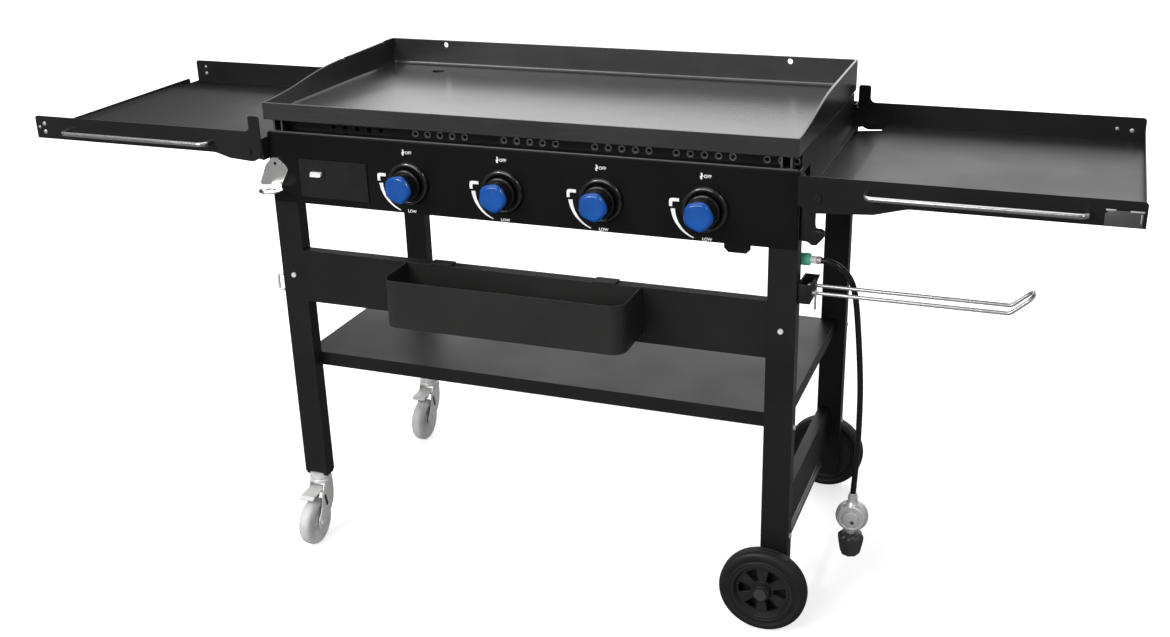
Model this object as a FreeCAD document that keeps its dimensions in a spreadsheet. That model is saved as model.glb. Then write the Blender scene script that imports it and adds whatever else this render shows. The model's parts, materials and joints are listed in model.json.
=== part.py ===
"""Outdoor gas griddle station on a wheeled stand.

Millimetres, +Z up, +X to the right as a cook sees it, -Y towards the cook.
The floor is z = 0 and the origin is the middle of the footprint.
Every size is a cell of the Sizes sheet, and the pieces take their sizes and
places from those cells.
"""
import FreeCAD, Part
import math
import os
import re

import Sketcher

VEC = FreeCAD.Vector
ALONG_Y = FreeCAD.Rotation(VEC(1, 0, 0), -90)
TOWARDS_COOK = FreeCAD.Rotation(VEC(1, 0, 0), 90)
ALONG_X = FreeCAD.Rotation(VEC(0, 1, 0), 90)
UPRIGHT = FreeCAD.Rotation()

SIZES = (
    ("seat_gap", 0.3, "clearance between pieces that move or are lifted off"),
    ("running_gap", 0.05, "radial clearance of a shaft in its bore"),
    ("sheet_gauge", 1.5, "sheet steel of the body"),
    ("pan_width", 940, "griddle pan over its side walls"),
    ("pan_depth", 477, "griddle pan from the front lip to the back wall"),
    ("pan_overhang", 8, "how far the front lip stands before the legs"),
    ("plate_top", 838, "height of the cooking surface"),
    ("plate_gauge", 5, "thickness of the cooking plate"),
    ("pan_gauge", 4, "thickness of the walls of the pan"),
    ("lip_rise", 24, "front lip above the cooking surface"),
    ("wall_rise", 50, "back wall above the cooking surface"),
    ("wall_slope", 66, "length of the rise of a side wall behind the lip"),
    ("lid_hole", 10, "holes of the lid in the back wall"),
    ("lid_hole_span", 696, "distance between the holes of the lid"),
    ("lid_hole_drop", 9, "holes of the lid below the top of the back wall"),
    ("drain_bore", 24, "drain hole in the cooking plate"),
    ("drain_inset_x", 130, "drain hole from the left wall"),
    ("drain_inset_y", 60, "drain hole from the rear wall"),
    ("foot_width", 18, "foot under a corner of the pan"),
    ("foot_depth", 20, "foot from front to back"),
    ("foot_inset", 12, "foot inside the outer face of the pan"),
    ("foot_front", 2, "front foot behind the front faces of the legs"),
    ("foot_gauge", 3, "wall of a foot"),
    ("frame_margin", 2, "outer faces of the legs outside the pan"),
    ("rear_margin", 21, "rear faces of the legs behind the pan"),
    ("leg_width", 47, "leg seen from the front"),
    ("leg_depth", 26, "leg from front to back"),
    ("leg_gauge", 1.5, "wall of a leg"),
    ("leg_foot_left", 139, "lower end of the left legs"),
    ("leg_foot_right", 46, "lower end of the right legs"),
    ("panel_top", 809, "top of the control panel and of the ledge behind it"),
    ("panel_rise", 125, "height of the control panel"),
    ("panel_flange", 14, "folded lower edge of the control panel"),
    ("panel_margin", 2, "ends of the control panel inside the outer faces of the legs"),
    ("box_floor", 712, "underside of the burner box"),
    ("box_crest", 828, "top edge of the burner box"),
    ("box_margin", 4, "burner box inside the outer faces of the legs"),
    ("box_step", 88, "lower front of the burner box behind the front faces of the legs"),
    ("box_shoulder", 12, "step of the burner box below the ledge"),
    ("ledge_width", 34, "ledges for the feet inside the burner box"),
    ("vent_bore", 9, "vent hole in the front of the burner box"),
    ("vent_pitch", 23, "distance between vent holes"),
    ("vent_rise", 8, "vent holes above the ledge"),
    ("knob_pitch", 174, "distance between knobs"),
    ("knob_shift", 62, "middle of the row of knobs right of the centre"),
    ("knob_drop", 72, "knobs below the top of the panel"),
    ("knob_radius", 24, "face of a knob"),
    ("knob_skirt", 27, "skirt of a knob"),
    ("knob_length", 32, "knob from skirt to face"),
    ("knob_travel", 3, "push of a knob"),
    ("bezel_radius", 36, "black ring round a knob"),
    ("bezel_height", 8, "thickness of the ring round a knob"),
    ("knob_gap", 3.5, "knob before its ring"),
    ("stem_radius", 4, "valve stem"),
    ("stem_reach", 50, "length of a valve stem"),
    ("stem_in_valve", 12, "valve stem inside its valve"),
    ("stem_in_knob", 14, "depth of the bore in a knob"),
    ("valve_front", 12, "front of a valve behind the front faces of the legs"),
    ("valve_radius", 9, "body of a valve"),
    ("jet_radius", 4, "jet of a valve"),
    ("stem_hole", 7, "radius of the hole for a stem in the panel"),
    ("pipe_radius", 11, "manifold pipe"),
    ("pipe_bore", 8, "bore of the manifold pipe"),
    ("pipe_back", 46, "manifold behind the front faces of the legs"),
    ("inlet_reach", 48, "from the manifold's last bend to the hose"),
    ("fitting_length", 38, "hose fitting"),
    ("fitting_radius", 10, "band of the hose fitting"),
    ("pipe_end", 24, "manifold beyond the outer knobs"),
    ("burner_radius", 16, "burner tube"),
    ("burner_start", 70, "mouth of the burners behind the front faces of the legs"),
    ("burner_gauge", 1.2, "wall of a burner tube"),
    ("burner_height", 770, "axis of the burners"),
    ("burner_rear", 56, "end of the burners before the rear of the box"),
    ("igniter_inset", 94, "igniter from the outer face of the left legs"),
    ("igniter_drop", 69, "igniter below the top of the panel"),
    ("plaque_width", 134, "plate round the igniter"),
    ("plaque_height", 68, "plate round the igniter"),
    ("plaque_inset", 34, "igniter from the left end of its plate"),
    ("plaque_gauge", 2, "thickness of the plate round the igniter"),
    ("plaque_rise", 15, "plate round the igniter above its bezel"),
    ("igniter_width", 33, "bezel of the igniter"),
    ("igniter_height", 20, "bezel of the igniter"),
    ("igniter_depth", 24, "igniter behind the panel"),
    ("igniter_travel", 4, "push of the igniter"),
    ("rail_top", 594, "top of the front rail"),
    ("rail_height", 98, "height of the front rail"),
    ("rail_flange", 20, "flanges of the front rail"),
    ("shelf_top", 385, "surface of the lower shelf"),
    ("shelf_margin", 18, "lower shelf inside the outer faces of the legs"),
    ("shelf_flange", 26, "folded edge of the lower shelf"),
    ("side_rail_top", 196, "top of the right side rail"),
    ("side_rail_height", 76, "height of the right side rail"),
    ("bin_width", 430, "bin on the front rail"),
    ("bin_depth", 96, "bin from front to back"),
    ("bin_height", 84, "height of the bin"),
    ("bin_corner", 24, "corner radius of the bin"),
    ("table_length", 490, "side shelf beyond the outer faces of the legs"),
    ("table_gap", 1, "inner edge of a side shelf from the legs"),
    ("table_front", 20, "front wall of a side shelf before the legs"),
    ("table_back", 10, "rear wall of a side shelf before the rear faces of the legs"),
    ("table_floor", 771.5, "surface of a side shelf"),
    ("table_rise", 37.5, "walls above the surface"),
    ("table_gauge", 1.5, "sheet of a side shelf"),
    ("table_lip", 16.5, "low outer lip above the surface"),
    ("table_ease", 6, "rounded outer ends of the walls"),
    ("crease_reach", 60, "crease across the floor from the legs"),
    ("floor_dip", 4, "fall of the floor from its crease to its inner hem"),
    ("hem_reach", 10, "inner hem of the floor from the legs"),
    ("hem_rise", 8, "inner hem above the floor beside it"),
    ("hem_width", 7, "inner hem of the floor"),
    ("notch_reach", 53, "corner notches of the floor from the legs"),
    ("notch_depth", 50, "corner notches of the floor from the walls"),
    ("ear_rise", 31, "ear above the top of its wall"),
    ("ear_width", 22, "ear at the inner end of a wall"),
    ("ear_foot", 9, "rounding between an ear and its wall"),
    ("plain_drop", 20, "deep end of the wall without an ear, below the floor"),
    ("plain_reach", 164, "deep end of the wall without an ear, from the legs"),
    ("eared_drop", 13, "deep end of the wall with an ear, below the floor"),
    ("eared_reach", 98, "deep end of the wall with an ear, from the legs"),
    ("knuckle_round", 24, "rounding of the inner lower corners of the walls"),
    ("pivot_inset", 29, "hinge pin from the inner edge of a side shelf"),
    ("pivot_rise", 4.5, "hinge pin above the surface of a side shelf"),
    ("pin_radius", 4, "hinge pin"),
    ("pin_head", 2, "head of a hinge pin"),
    ("bracket_gauge", 2.5, "hinge bracket"),
    ("bracket_drop", 14, "hinge bracket below its pin"),
    ("bracket_rise", 24, "hinge bracket above its pin"),
    ("bracket_lap", 24, "cheek of a hinge bracket on its leg"),
    ("towel_rod_radius", 4, "towel rod"),
    ("towel_rod_inset", 103, "inner end of a towel rod from the legs"),
    ("towel_rod_length", 310, "towel rod"),
    ("towel_rod_proud", 26, "towel rod before the wall"),
    ("towel_rod_rise", 17.5, "towel rod above the surface of its shelf"),
    ("wire_radius", 3, "wire of the towel holder"),
    ("wire_drop", 151, "towel holder below the hinge bracket above it"),
    ("wire_front", 13, "front wire behind the front faces of the legs"),
    ("wire_spread", 34, "distance between the two wires"),
    ("wire_socket", 26, "sockets of the towel holder"),
    ("wire_length", 354, "towel holder beyond the outer face of the leg"),
    ("wire_lift", 28, "upturned end of the towel holder"),
    ("wheel_radius", 76, "large wheel"),
    ("wheel_width", 34, "large wheel"),
    ("tyre_depth", 22, "tyre from tread to rim"),
    ("wheel_inset", 35, "axle of the large wheels inside the outer faces of the legs"),
    ("wheel_gap", 5, "large wheel from its leg"),
    ("axle_radius", 6, "axle of the large wheels"),
    ("hub_proud", 2, "hub of a large wheel beyond its tyre"),
    ("cap_height", 4, "caps of the wheel axle"),
    ("caster_radius", 45, "caster wheel"),
    ("caster_width", 24, "caster wheel"),
    ("caster_trail", 36, "caster axle before its stem"),
    ("caster_pin", 4, "caster axle"),
    ("caster_stem", 7, "caster stem"),
    ("caster_plate", 8, "bearing plate over a caster fork"),
    ("fork_crown", 19, "round crown of a caster fork"),
    ("pedal_pin", 3, "pin of a brake pedal"),
    ("fork_gauge", 2.5, "fork of a caster"),
    ("fork_gap", 3, "between a caster wheel and its fork"),
    ("hose_radius", 5, "gas hose"),
    ("hose_reach", 21, "gas hose leaves its ferrule, beyond the outer face of the leg"),
    ("hose_start_z", 654, "height at which the gas hose leaves its ferrule"),
    ("regulator_radius", 28, "body of the regulator"),
    ("regulator_depth", 34, "body of the regulator"),
    ("nut_radius", 21, "hand nut of the regulator"),
    ("nut_height", 40, "hand nut of the regulator"),
    ("nut_thread", 14, "thread of the hand nut"),
    ("nut_cap", 6, "closed end of the hand nut"),
    ("nut_pocket", 5, "room in the hand nut for the flange of the neck"),
    ("neck_radius", 5, "neck of the regulator inside the hand nut"),
    ("collar_length", 26, "hexagon and collar between hose and regulator"),
    ("cup_radius", 42, "grease cup"),
    ("cup_height", 70, "grease cup"),
    ("bolt_radius", 4.5, "head of a frame bolt"),
    ("bolt_height", 3, "head of a frame bolt"),
    ("opener_inset", 12, "opener from the outer face of the left leg"),
    ("opener_drop", 45.5, "top of the opener below the top of the panel"),
    ("opener_height", 54.5, "plate of the opener"),
    ("opener_gauge", 2.5, "plate of the opener"),
    ("opener_ring", 21, "ring of the opener"),
    ("opener_mouth", 9, "hole of the opener's ring"),
    ("opener_neck", 17, "neck of the opener"),
    ("hook_wire", 2.5, "wire of a side hook"),
    ("hook_proud", 20, "side hook beyond its leg"),
    ("hook_drop", 30, "height of a side hook"),
    ("hook_tip", 6, "tip of a side hook from its leg"),
    ("hook_above", 102, "hose hook above the towel holder"),
    ("hook_below", 56, "tool hook below the top of the front rail"),
    ("tab_width", 43, "tab below the control panel"),
    ("tab_drop", 14, "tab below the control panel"),
    ("tab_shift", 52.5, "middle of the tab right of the last knob"),
)

DERIVED = (
    ("wire_height", "table_floor + pivot_rise - bracket_drop - wire_drop"),
    ("wheel_x", "frame_width / 2 - wheel_inset"),
    ("igniter_x", "igniter_inset - frame_width / 2"),
    ("shelf_width", "frame_width - 2 * shelf_margin"),
    ("table_reach", "frame_width / 2 + table_length"),
    ("towel_rod_start", "frame_width / 2 + towel_rod_inset"),
    ("wire_end", "frame_width / 2 + wire_length"),
    ("hose_start_x", "frame_width / 2 + hose_reach"),
    ("frame_width", "pan_width + 2 * frame_margin"),
    ("frame_depth", "pan_depth - pan_overhang + rear_margin"),
)

doc = FreeCAD.newDocument("GriddleStation")
sheet = doc.addObject("Spreadsheet::Sheet", "Sizes")
for row, (alias, amount, meaning) in enumerate(SIZES, start=1):
    sheet.set("A%d" % row, meaning)
    sheet.set("B%d" % row, str(amount))
    sheet.setAlias("B%d" % row, alias)
doc.recompute()

AXLE_REACH = "(wheel_gap + wheel_width + hub_proud + seat_gap + cap_height)"
ORIGIN_BACK = "((frame_depth + %s - bin_depth) / 2)" % AXLE_REACH

WORDS = re.compile(r"\b(" + "|".join(name for name, _, _ in SIZES) + r")\b")
nodes = []


def cell(expression):
    """An expression in the sheet's words, with the sheet named."""
    text = str(expression)
    for name, meaning in DERIVED:
        text = re.sub(r"\b%s\b" % name, "(%s)" % meaning, text)
    return WORDS.sub(r"Sizes.\1", text)


def size(expression):
    """The number that an expression gives now."""
    found = sheet.evalExpression(cell(expression))
    return float(getattr(found, "Value", found))


def bind(item, prop, expression):
    item.setExpression(prop, cell(expression))


def place(item, x, y, z, turn=UPRIGHT):
    """Put an item at a point. y counts back from the front faces of the legs."""
    item.Placement = FreeCAD.Placement(VEC(0, 0, 0), turn)
    bind(item, "Placement.Base.x", x)
    bind(item, "Placement.Base.y", "(%s) - %s" % (y, ORIGIN_BACK))
    bind(item, "Placement.Base.z", z)
    return item


def block(x0, x1, y0, y1, z0, z1):
    """A box between six faces."""
    item = doc.addObject("Part::Box", "Block")
    bind(item, "Length", "(%s) - (%s)" % (x1, x0))
    bind(item, "Width", "(%s) - (%s)" % (y1, y0))
    bind(item, "Height", "(%s) - (%s)" % (z1, z0))
    return place(item, x0, y0, z0)


def rod(radius, length, x, y, z, turn=UPRIGHT):
    """A cylinder that starts at a point and runs along its turned axis."""
    item = doc.addObject("Part::Cylinder", "Rod")
    bind(item, "Radius", radius)
    bind(item, "Height", length)
    return place(item, x, y, z, turn)


def joined(*items):
    item = doc.addObject("Part::MultiFuse", "Joined")
    item.Shapes = list(items)
    item.Refine = True
    return item


def gathered(*items):
    """Separate solids that share one node."""
    item = doc.addObject("Part::Compound", "Gathered")
    item.Links = list(items)
    return item


def without(base, *tools):
    item = doc.addObject("Part::Cut", "Without")
    item.Base = base
    item.Tool = tools[0] if len(tools) == 1 else joined(*tools)
    item.Refine = True
    return item


def node(label, item):
    """Give a finished piece its name and keep it for export."""
    item.Label = label
    nodes.append(item)
    return item


def origin_plane(body, role):
    return next(face for face in body.Origin.OriginFeatures if face.Role == role)


def draw(body, plane, outline, circles=()):
    """A closed sketch through points given as expressions, with round holes."""
    sketch = body.newObject("Sketcher::SketchObject", "Profile")
    sketch.AttachmentSupport = [(origin_plane(body, plane), "")]
    sketch.MapMode = "FlatFace"
    spots = [VEC(size(across), size(up), 0) for across, up in outline]
    for index, spot in enumerate(spots):
        sketch.addGeometry(Part.LineSegment(spot, spots[(index + 1) % len(spots)]))
    for index in range(len(spots)):
        following = (index + 1) % len(spots)
        sketch.addConstraint(Sketcher.Constraint("Coincident", index, 2, following, 1))
    for index, (across, up) in enumerate(outline):
        pin_point(sketch, index, 1, across, up)
    for across, up, radius in circles:
        centre = VEC(size(across), size(up), 0)
        index = sketch.addGeometry(Part.Circle(centre, VEC(0, 0, 1), size(radius)))
        pin_point(sketch, index, 3, across, up)
        ring = sketch.addConstraint(Sketcher.Constraint("Radius", index, size(radius)))
        bind(sketch, "Constraints[%d]" % ring, radius)
    return sketch


def pin_point(sketch, index, end, across, up):
    """Hold one point of a sketch at its two distances from the origin."""
    for kind, distance in (("DistanceX", across), ("DistanceY", up)):
        held = Sketcher.Constraint(kind, -1, 1, index, end, size(distance))
        bind(sketch, "Constraints[%d]" % sketch.addConstraint(held), distance)


def padded(plane, outline, length, circles=()):
    """A body made by one pad of a sketch."""
    body = doc.addObject("PartDesign::Body", "Padded")
    sketch = draw(body, plane, outline, circles)
    pad = body.newObject("PartDesign::Pad", "Pad")
    pad.Profile = sketch
    bind(pad, "Length", length)
    doc.recompute()
    return body


def turned(outline):
    """A body turned about Z from points (radius, height)."""
    body = doc.addObject("PartDesign::Body", "Turned")
    sketch = draw(body, "XZ_Plane", outline)
    spin = body.newObject("PartDesign::Revolution", "Spin")
    spin.Profile = sketch
    spin.ReferenceAxis = (sketch, ["V_Axis"])
    spin.Angle = 360
    doc.recompute()
    return body


def rounded(body, radius, wanted):
    """Fillet the edges of a body's tip that the test picks."""
    tip = body.Tip
    names = ["Edge%d" % (number + 1) for number, edge in enumerate(tip.Shape.Edges)
             if wanted(edge)]
    fillet = body.newObject("PartDesign::Fillet", "Rounded")
    fillet.Base = (tip, names)
    bind(fillet, "Radius", radius)
    doc.recompute()
    return body


def upright(edge):
    """True for a straight edge along Z."""
    ends = [vertex.Point for vertex in edge.Vertexes]
    return len(ends) == 2 and (ends[1] - ends[0]).cross(VEC(0, 0, 1)).Length < 1e-6


def knob_x(number):
    """Where knob 0 to 3 stands, from the left."""
    return "(knob_shift + knob_pitch * %s)" % (number - 1.5)


KNOB_Z = "(panel_top - knob_drop)"
HALF_FRAME = "(frame_width / 2)"
HALF_PAN = "(pan_width / 2)"
PLATE_BOTTOM = "(plate_top - plate_gauge)"
TABLE_IN = "(frame_width / 2 + table_gap)"
PIVOT_X = "(frame_width / 2 + table_gap + pivot_inset)"
PIVOT_Z = "(table_floor + pivot_rise)"
SIDES = (("left", -1), ("right", 1))
DRAIN_X = "(drain_inset_x - pan_width / 2)"
DRAIN_Y = "(pan_depth - pan_overhang - drain_inset_y)"
IGNITER_Z = "(panel_top - igniter_drop)"
WHEEL_Z = "wheel_radius"
CASTER_X = "(leg_width / 2 - frame_width / 2)"
TABLE_Y0 = "(-table_front)"
TABLE_Y1 = "(frame_depth - table_back)"
KNOB_Y = "(-(sheet_gauge + bezel_height + knob_gap))"


def make_pan():
    """Cooking plate with a low front lip, swept side walls and a high back wall."""
    lip = "(plate_top + lip_rise)"
    crest = "(plate_top + wall_rise)"
    rise = "(wall_rise - lip_rise)"
    outline = [
        ("0", PLATE_BOTTOM), ("pan_depth", PLATE_BOTTOM), ("pan_depth", crest),
        ("pan_gauge + wall_slope * 2.4", "%s - %s * 0.16" % (crest, rise)),
        ("pan_gauge + wall_slope", "%s - %s * 0.36" % (crest, rise)),
        ("pan_gauge + wall_slope * 0.3", "%s + %s * 0.1" % (lip, rise)), ("0", lip)]
    outer = padded("YZ_Plane", outline, "pan_width")
    place(outer, "-" + HALF_PAN, "-pan_overhang", "0")
    inner = block("-%s + pan_gauge" % HALF_PAN, HALF_PAN + " - pan_gauge",
                  "pan_gauge - pan_overhang", "pan_depth - pan_overhang - pan_gauge",
                  "plate_top", crest + " + 1")
    tools = [inner]
    for side in (-1, 1):
        x = "%d * lid_hole_span / 2" % side
        y = "pan_depth - pan_overhang - pan_gauge - 1"
        z = crest + " - lid_hole_drop"
        tools.append(rod("lid_hole / 2", "pan_gauge + 2", x, y, z, ALONG_Y))
    tools.append(rod("drain_bore / 2", "plate_gauge + 2", DRAIN_X, DRAIN_Y,
                     PLATE_BOTTOM + " - 1"))
    return node("griddle_pan", without(outer, *tools))


def make_pan_feet():
    """A channel foot under each corner, standing on the ledge round the box."""
    feet = []
    for side in (-1, 1):
        x = "(%d * (%s - foot_inset - foot_width / 2))" % (side, HALF_PAN)
        for y in ("foot_front", "(frame_depth - leg_depth - foot_depth - 2 * foot_front)"):
            solid = block(x + " - foot_width / 2", x + " + foot_width / 2",
                          y, y + " + foot_depth", "panel_top", PLATE_BOTTOM)
            hollow = block(x + " - foot_width / 2 + foot_gauge",
                           x + " + foot_width / 2 - foot_gauge",
                           y + " - 1", y + " + foot_depth + 1", "panel_top + foot_gauge",
                           PLATE_BOTTOM + " - foot_gauge")
            feet.append(without(solid, hollow))
    return node("pan_feet", gathered(*feet))


VENT_GROUPS = "555553"
VENT_MIDDLES = ("-0.654", "-0.316", "0.034", "0.376", "0.669", "0.932")


def box_profile(inset, crest):
    """Side view of the burner box, stepped back below the vents."""
    front, step = "leg_depth + %s" % inset, "box_step + %s" % inset
    rear = "frame_depth - leg_depth - %s" % inset
    floor, shoulder = "box_floor + %s" % inset, "panel_top - box_shoulder + %s" % inset
    return [(front, crest), (front, shoulder), (step, shoulder), (step, floor),
            (rear, floor), (rear, crest)]


def make_burner_box():
    """Open box under the pan with a ledge inside it and vents in its front."""
    half = HALF_FRAME + " - box_margin"
    outer = padded("YZ_Plane", box_profile("0", "box_crest"), "2 * (%s)" % half)
    place(outer, "-(%s)" % half, "0", "0")
    inner = padded("YZ_Plane", box_profile("sheet_gauge", "box_crest + 1"),
                   "2 * (%s - sheet_gauge)" % half)
    place(inner, "-(%s - sheet_gauge)" % half, "0", "0")
    tools = [inner]
    for share, count in zip(VENT_MIDDLES, map(int, VENT_GROUPS)):
        for step in range(count):
            x = "%s * (%s) + vent_pitch * %s" % (share, half, step - (count - 1) / 2)
            tools.append(rod("vent_bore / 2", "sheet_gauge + 2", x, "leg_depth - 1",
                             "panel_top + vent_rise", ALONG_Y))
    for number in range(4):
        tools.append(rod("burner_radius + seat_gap", "sheet_gauge + 2", knob_x(number),
                         "box_step - 1", "burner_height", ALONG_Y))
    tools.append(rod("drain_bore / 2 + sheet_gauge", "sheet_gauge + 2", DRAIN_X, DRAIN_Y,
                     "box_floor - 1"))
    shell = without(outer, *tools)
    parts = [shell]
    for side in (-1, 1):
        wall = "(%d * (%s - sheet_gauge))" % (side, half)
        edges = sorted((wall, "%s - %d * ledge_width" % (wall, side)), key=size)
        parts.append(block(edges[0], edges[1], "leg_depth + sheet_gauge",
                           "frame_depth - leg_depth - sheet_gauge",
                           "panel_top - sheet_gauge * 2", "panel_top"))
    parts.append(without(
        rod("drain_bore / 2 + sheet_gauge", PLATE_BOTTOM + " - box_floor - 1 + 8",
            DRAIN_X, DRAIN_Y, "box_floor - 8"),
        rod("drain_bore / 2", PLATE_BOTTOM + " - box_floor + 20",
            DRAIN_X, DRAIN_Y, "box_floor - 10")))
    return node("burner_box", joined(*parts))


def make_control_panel():
    """Folded front panel with holes for the valve stems and the igniter."""
    half = HALF_FRAME + " - panel_margin"
    inside = HALF_FRAME + " - leg_width - 1"
    bottom = "panel_top - panel_rise"
    face = block("-(%s)" % half, half, "-sheet_gauge", "0", bottom, "panel_top")
    top = block("-(%s)" % half, half, "-sheet_gauge", "leg_depth",
                "panel_top - sheet_gauge", "panel_top")
    under = block("-(%s)" % inside, inside, "-sheet_gauge", "panel_flange",
                  bottom, bottom + " + sheet_gauge")
    tab_x = "(%s + tab_shift)" % knob_x(3)
    slant = "tab_drop / 2"
    tab = padded("XZ_Plane", [
        (tab_x + " - tab_width / 2", bottom + " + 1"), (tab_x + " + tab_width / 2", bottom + " + 1"),
        (tab_x + " + tab_width / 2", "%s - %s" % (bottom, slant)),
        (tab_x + " + tab_width / 2 - " + slant, bottom + " - tab_drop"),
        (tab_x + " - tab_width / 2 + " + slant, bottom + " - tab_drop"),
        (tab_x + " - tab_width / 2", "%s - %s" % (bottom, slant))], "sheet_gauge")
    place(tab, "0", "0", "0")
    tools = [rod("stem_hole", "sheet_gauge + 2", knob_x(number), "-sheet_gauge - 1",
                 KNOB_Z, ALONG_Y) for number in range(4)]
    tools.append(block("igniter_x - igniter_width / 2 + 3", "igniter_x + igniter_width / 2 - 3",
                       "-sheet_gauge - 1", "1", IGNITER_Z + " - igniter_height / 2 + 3",
                       IGNITER_Z + " + igniter_height / 2 - 3"))
    return node("control_panel", without(joined(face, top, under, tab), *tools))


def make_bezels():
    """A dished black ring round each knob."""
    rings = []
    for number in range(4):
        ring = turned([("stem_hole", "0"), ("bezel_radius", "0"), ("bezel_radius", "3"),
                       ("bezel_radius - 6", "bezel_height"),
                       ("knob_skirt - 3", "bezel_height"), ("stem_hole + 5", "3"),
                       ("stem_hole", "3")])
        rings.append(place(ring, knob_x(number), "-sheet_gauge", KNOB_Z, TOWARDS_COOK))
    return node("knob_bezels", gathered(*rings))


def make_stem(number):
    """Valve stem that a push moves into its valve, with a stop collar."""
    stem = turned([("0", "0"), ("stem_radius", "0"), ("stem_radius", "stem_reach - 1"),
                   ("stem_radius - 1", "stem_reach"), ("0", "stem_reach")])
    place(stem, knob_x(number), "valve_front + stem_in_valve", KNOB_Z, TOWARDS_COOK)
    return node("valve_stem_%d" % (number + 1), stem)


def make_knob(number):
    """Fluted knob with a black skirt and a domed face."""
    body = turned([("0", "0"), ("knob_skirt", "0"), ("knob_skirt", "4"),
                   ("knob_radius + 0.5", "8"), ("knob_radius", "knob_length - 4"),
                   ("knob_radius - 3", "knob_length"), ("0", "knob_length + 1.5")])
    place(body, knob_x(number), KNOB_Y, KNOB_Z, TOWARDS_COOK)
    tools = [rod("stem_radius + running_gap", "stem_in_knob + 1", knob_x(number),
                 KNOB_Y + " + 1", KNOB_Z, TOWARDS_COOK)]
    for flute in range(8):
        angle = math.radians(22.5 + 45 * flute)
        x = "%s + (knob_radius + 3) * %.6f" % (knob_x(number), math.cos(angle))
        z = "%s + (knob_radius + 3) * %.6f" % (KNOB_Z, math.sin(angle))
        tools.append(rod("4.5", "knob_length", x, KNOB_Y + " - 9", z, TOWARDS_COOK))
    return node("knob_%d" % (number + 1), without(body, *tools))


def make_valves():
    """A brass valve for each burner, with the jet that feeds it."""
    valves = []
    for number in range(4):
        x = knob_x(number)
        shell = joined(
            rod("valve_radius", "pipe_back - valve_front", x, "valve_front", KNOB_Z, ALONG_Y),
            rod("valve_radius - 3", "burner_height + jet_radius + 2 - %s" % KNOB_Z, x,
                "valve_front + 12", KNOB_Z),
            rod("jet_radius", "burner_start + 6 - valve_front - 12", x,
                "valve_front + 12", "burner_height", ALONG_Y))
        bore = rod("stem_radius + running_gap", "stem_in_valve + knob_travel + 2", x,
                   "valve_front - 1", KNOB_Z, ALONG_Y)
        pipe = rod("pipe_radius", "4 * pipe_radius", x + " - 2 * pipe_radius", "pipe_back",
                   KNOB_Z, ALONG_X)
        valves.append(without(shell, bore, pipe))
    return node("burner_valves", gathered(*valves))


def make_manifold():
    """Gas pipe behind the panel, with tabs to it and an inlet elbow at the right."""
    left, right = knob_x(0) + " - pipe_end", "hose_start_x - inlet_reach"
    z_inlet = "hose_start_z"
    tabs = []
    for number in (0.5, 2.5):
        x = "(knob_shift + knob_pitch * %s)" % (number - 1.5)
        tabs.append(block(x + " - 10", x + " + 10", "0", "pipe_back",
                          KNOB_Z + " - 1.5", KNOB_Z + " + 1.5"))
    pipe = joined(
        rod("pipe_radius", "%s - (%s)" % (right, left), left, "pipe_back", KNOB_Z, ALONG_X),
        ball("pipe_radius", right, "pipe_back", KNOB_Z),
        rod("pipe_bore", "%s - %s" % (KNOB_Z, z_inlet), right, "pipe_back", z_inlet),
        ball("pipe_bore", right, "pipe_back", z_inlet),
        rod("pipe_bore", "inlet_reach - fitting_length", right, "pipe_back", z_inlet, ALONG_X),
        *tabs)
    return node("gas_manifold", pipe)


def ball(radius, x, y, z):
    item = doc.addObject("Part::Sphere", "Ball")
    bind(item, "Radius", radius)
    return place(item, x, y, z)


def make_burners():
    """Four tube burners with two rows of ports and a closed rear end."""
    tubes = []
    for number in range(4):
        x = knob_x(number)
        length = "frame_depth - leg_depth - burner_rear - burner_start"
        tube = rod("burner_radius", length, x, "burner_start", "burner_height", ALONG_Y)
        hollow = rod("burner_radius - burner_gauge", length + " - burner_gauge", x,
                     "burner_start - 0.001", "burner_height", ALONG_Y)
        tubes.append(without(tube, hollow))
    return node("burner_tubes", gathered(*tubes))


def make_burner_rail():
    """Angle bracket across the box that holds the rear ends of the burners."""
    half = HALF_FRAME + " - box_margin - sheet_gauge"
    y = "frame_depth - leg_depth - burner_rear - 20"
    upright_leg = block("-(%s)" % half, half, y, y + " + sheet_gauge",
                        "box_floor + sheet_gauge", "burner_height + burner_radius + 6")
    foot = block("-(%s)" % half, half, y + " - 16", y, "box_floor + sheet_gauge",
                 "box_floor + sheet_gauge * 2")
    tools = [rod("burner_radius + seat_gap", "sheet_gauge + 2", knob_x(number), y + " - 1",
                 "burner_height", ALONG_Y) for number in range(4)]
    return node("burner_rail", without(joined(upright_leg, foot), *tools))


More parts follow.
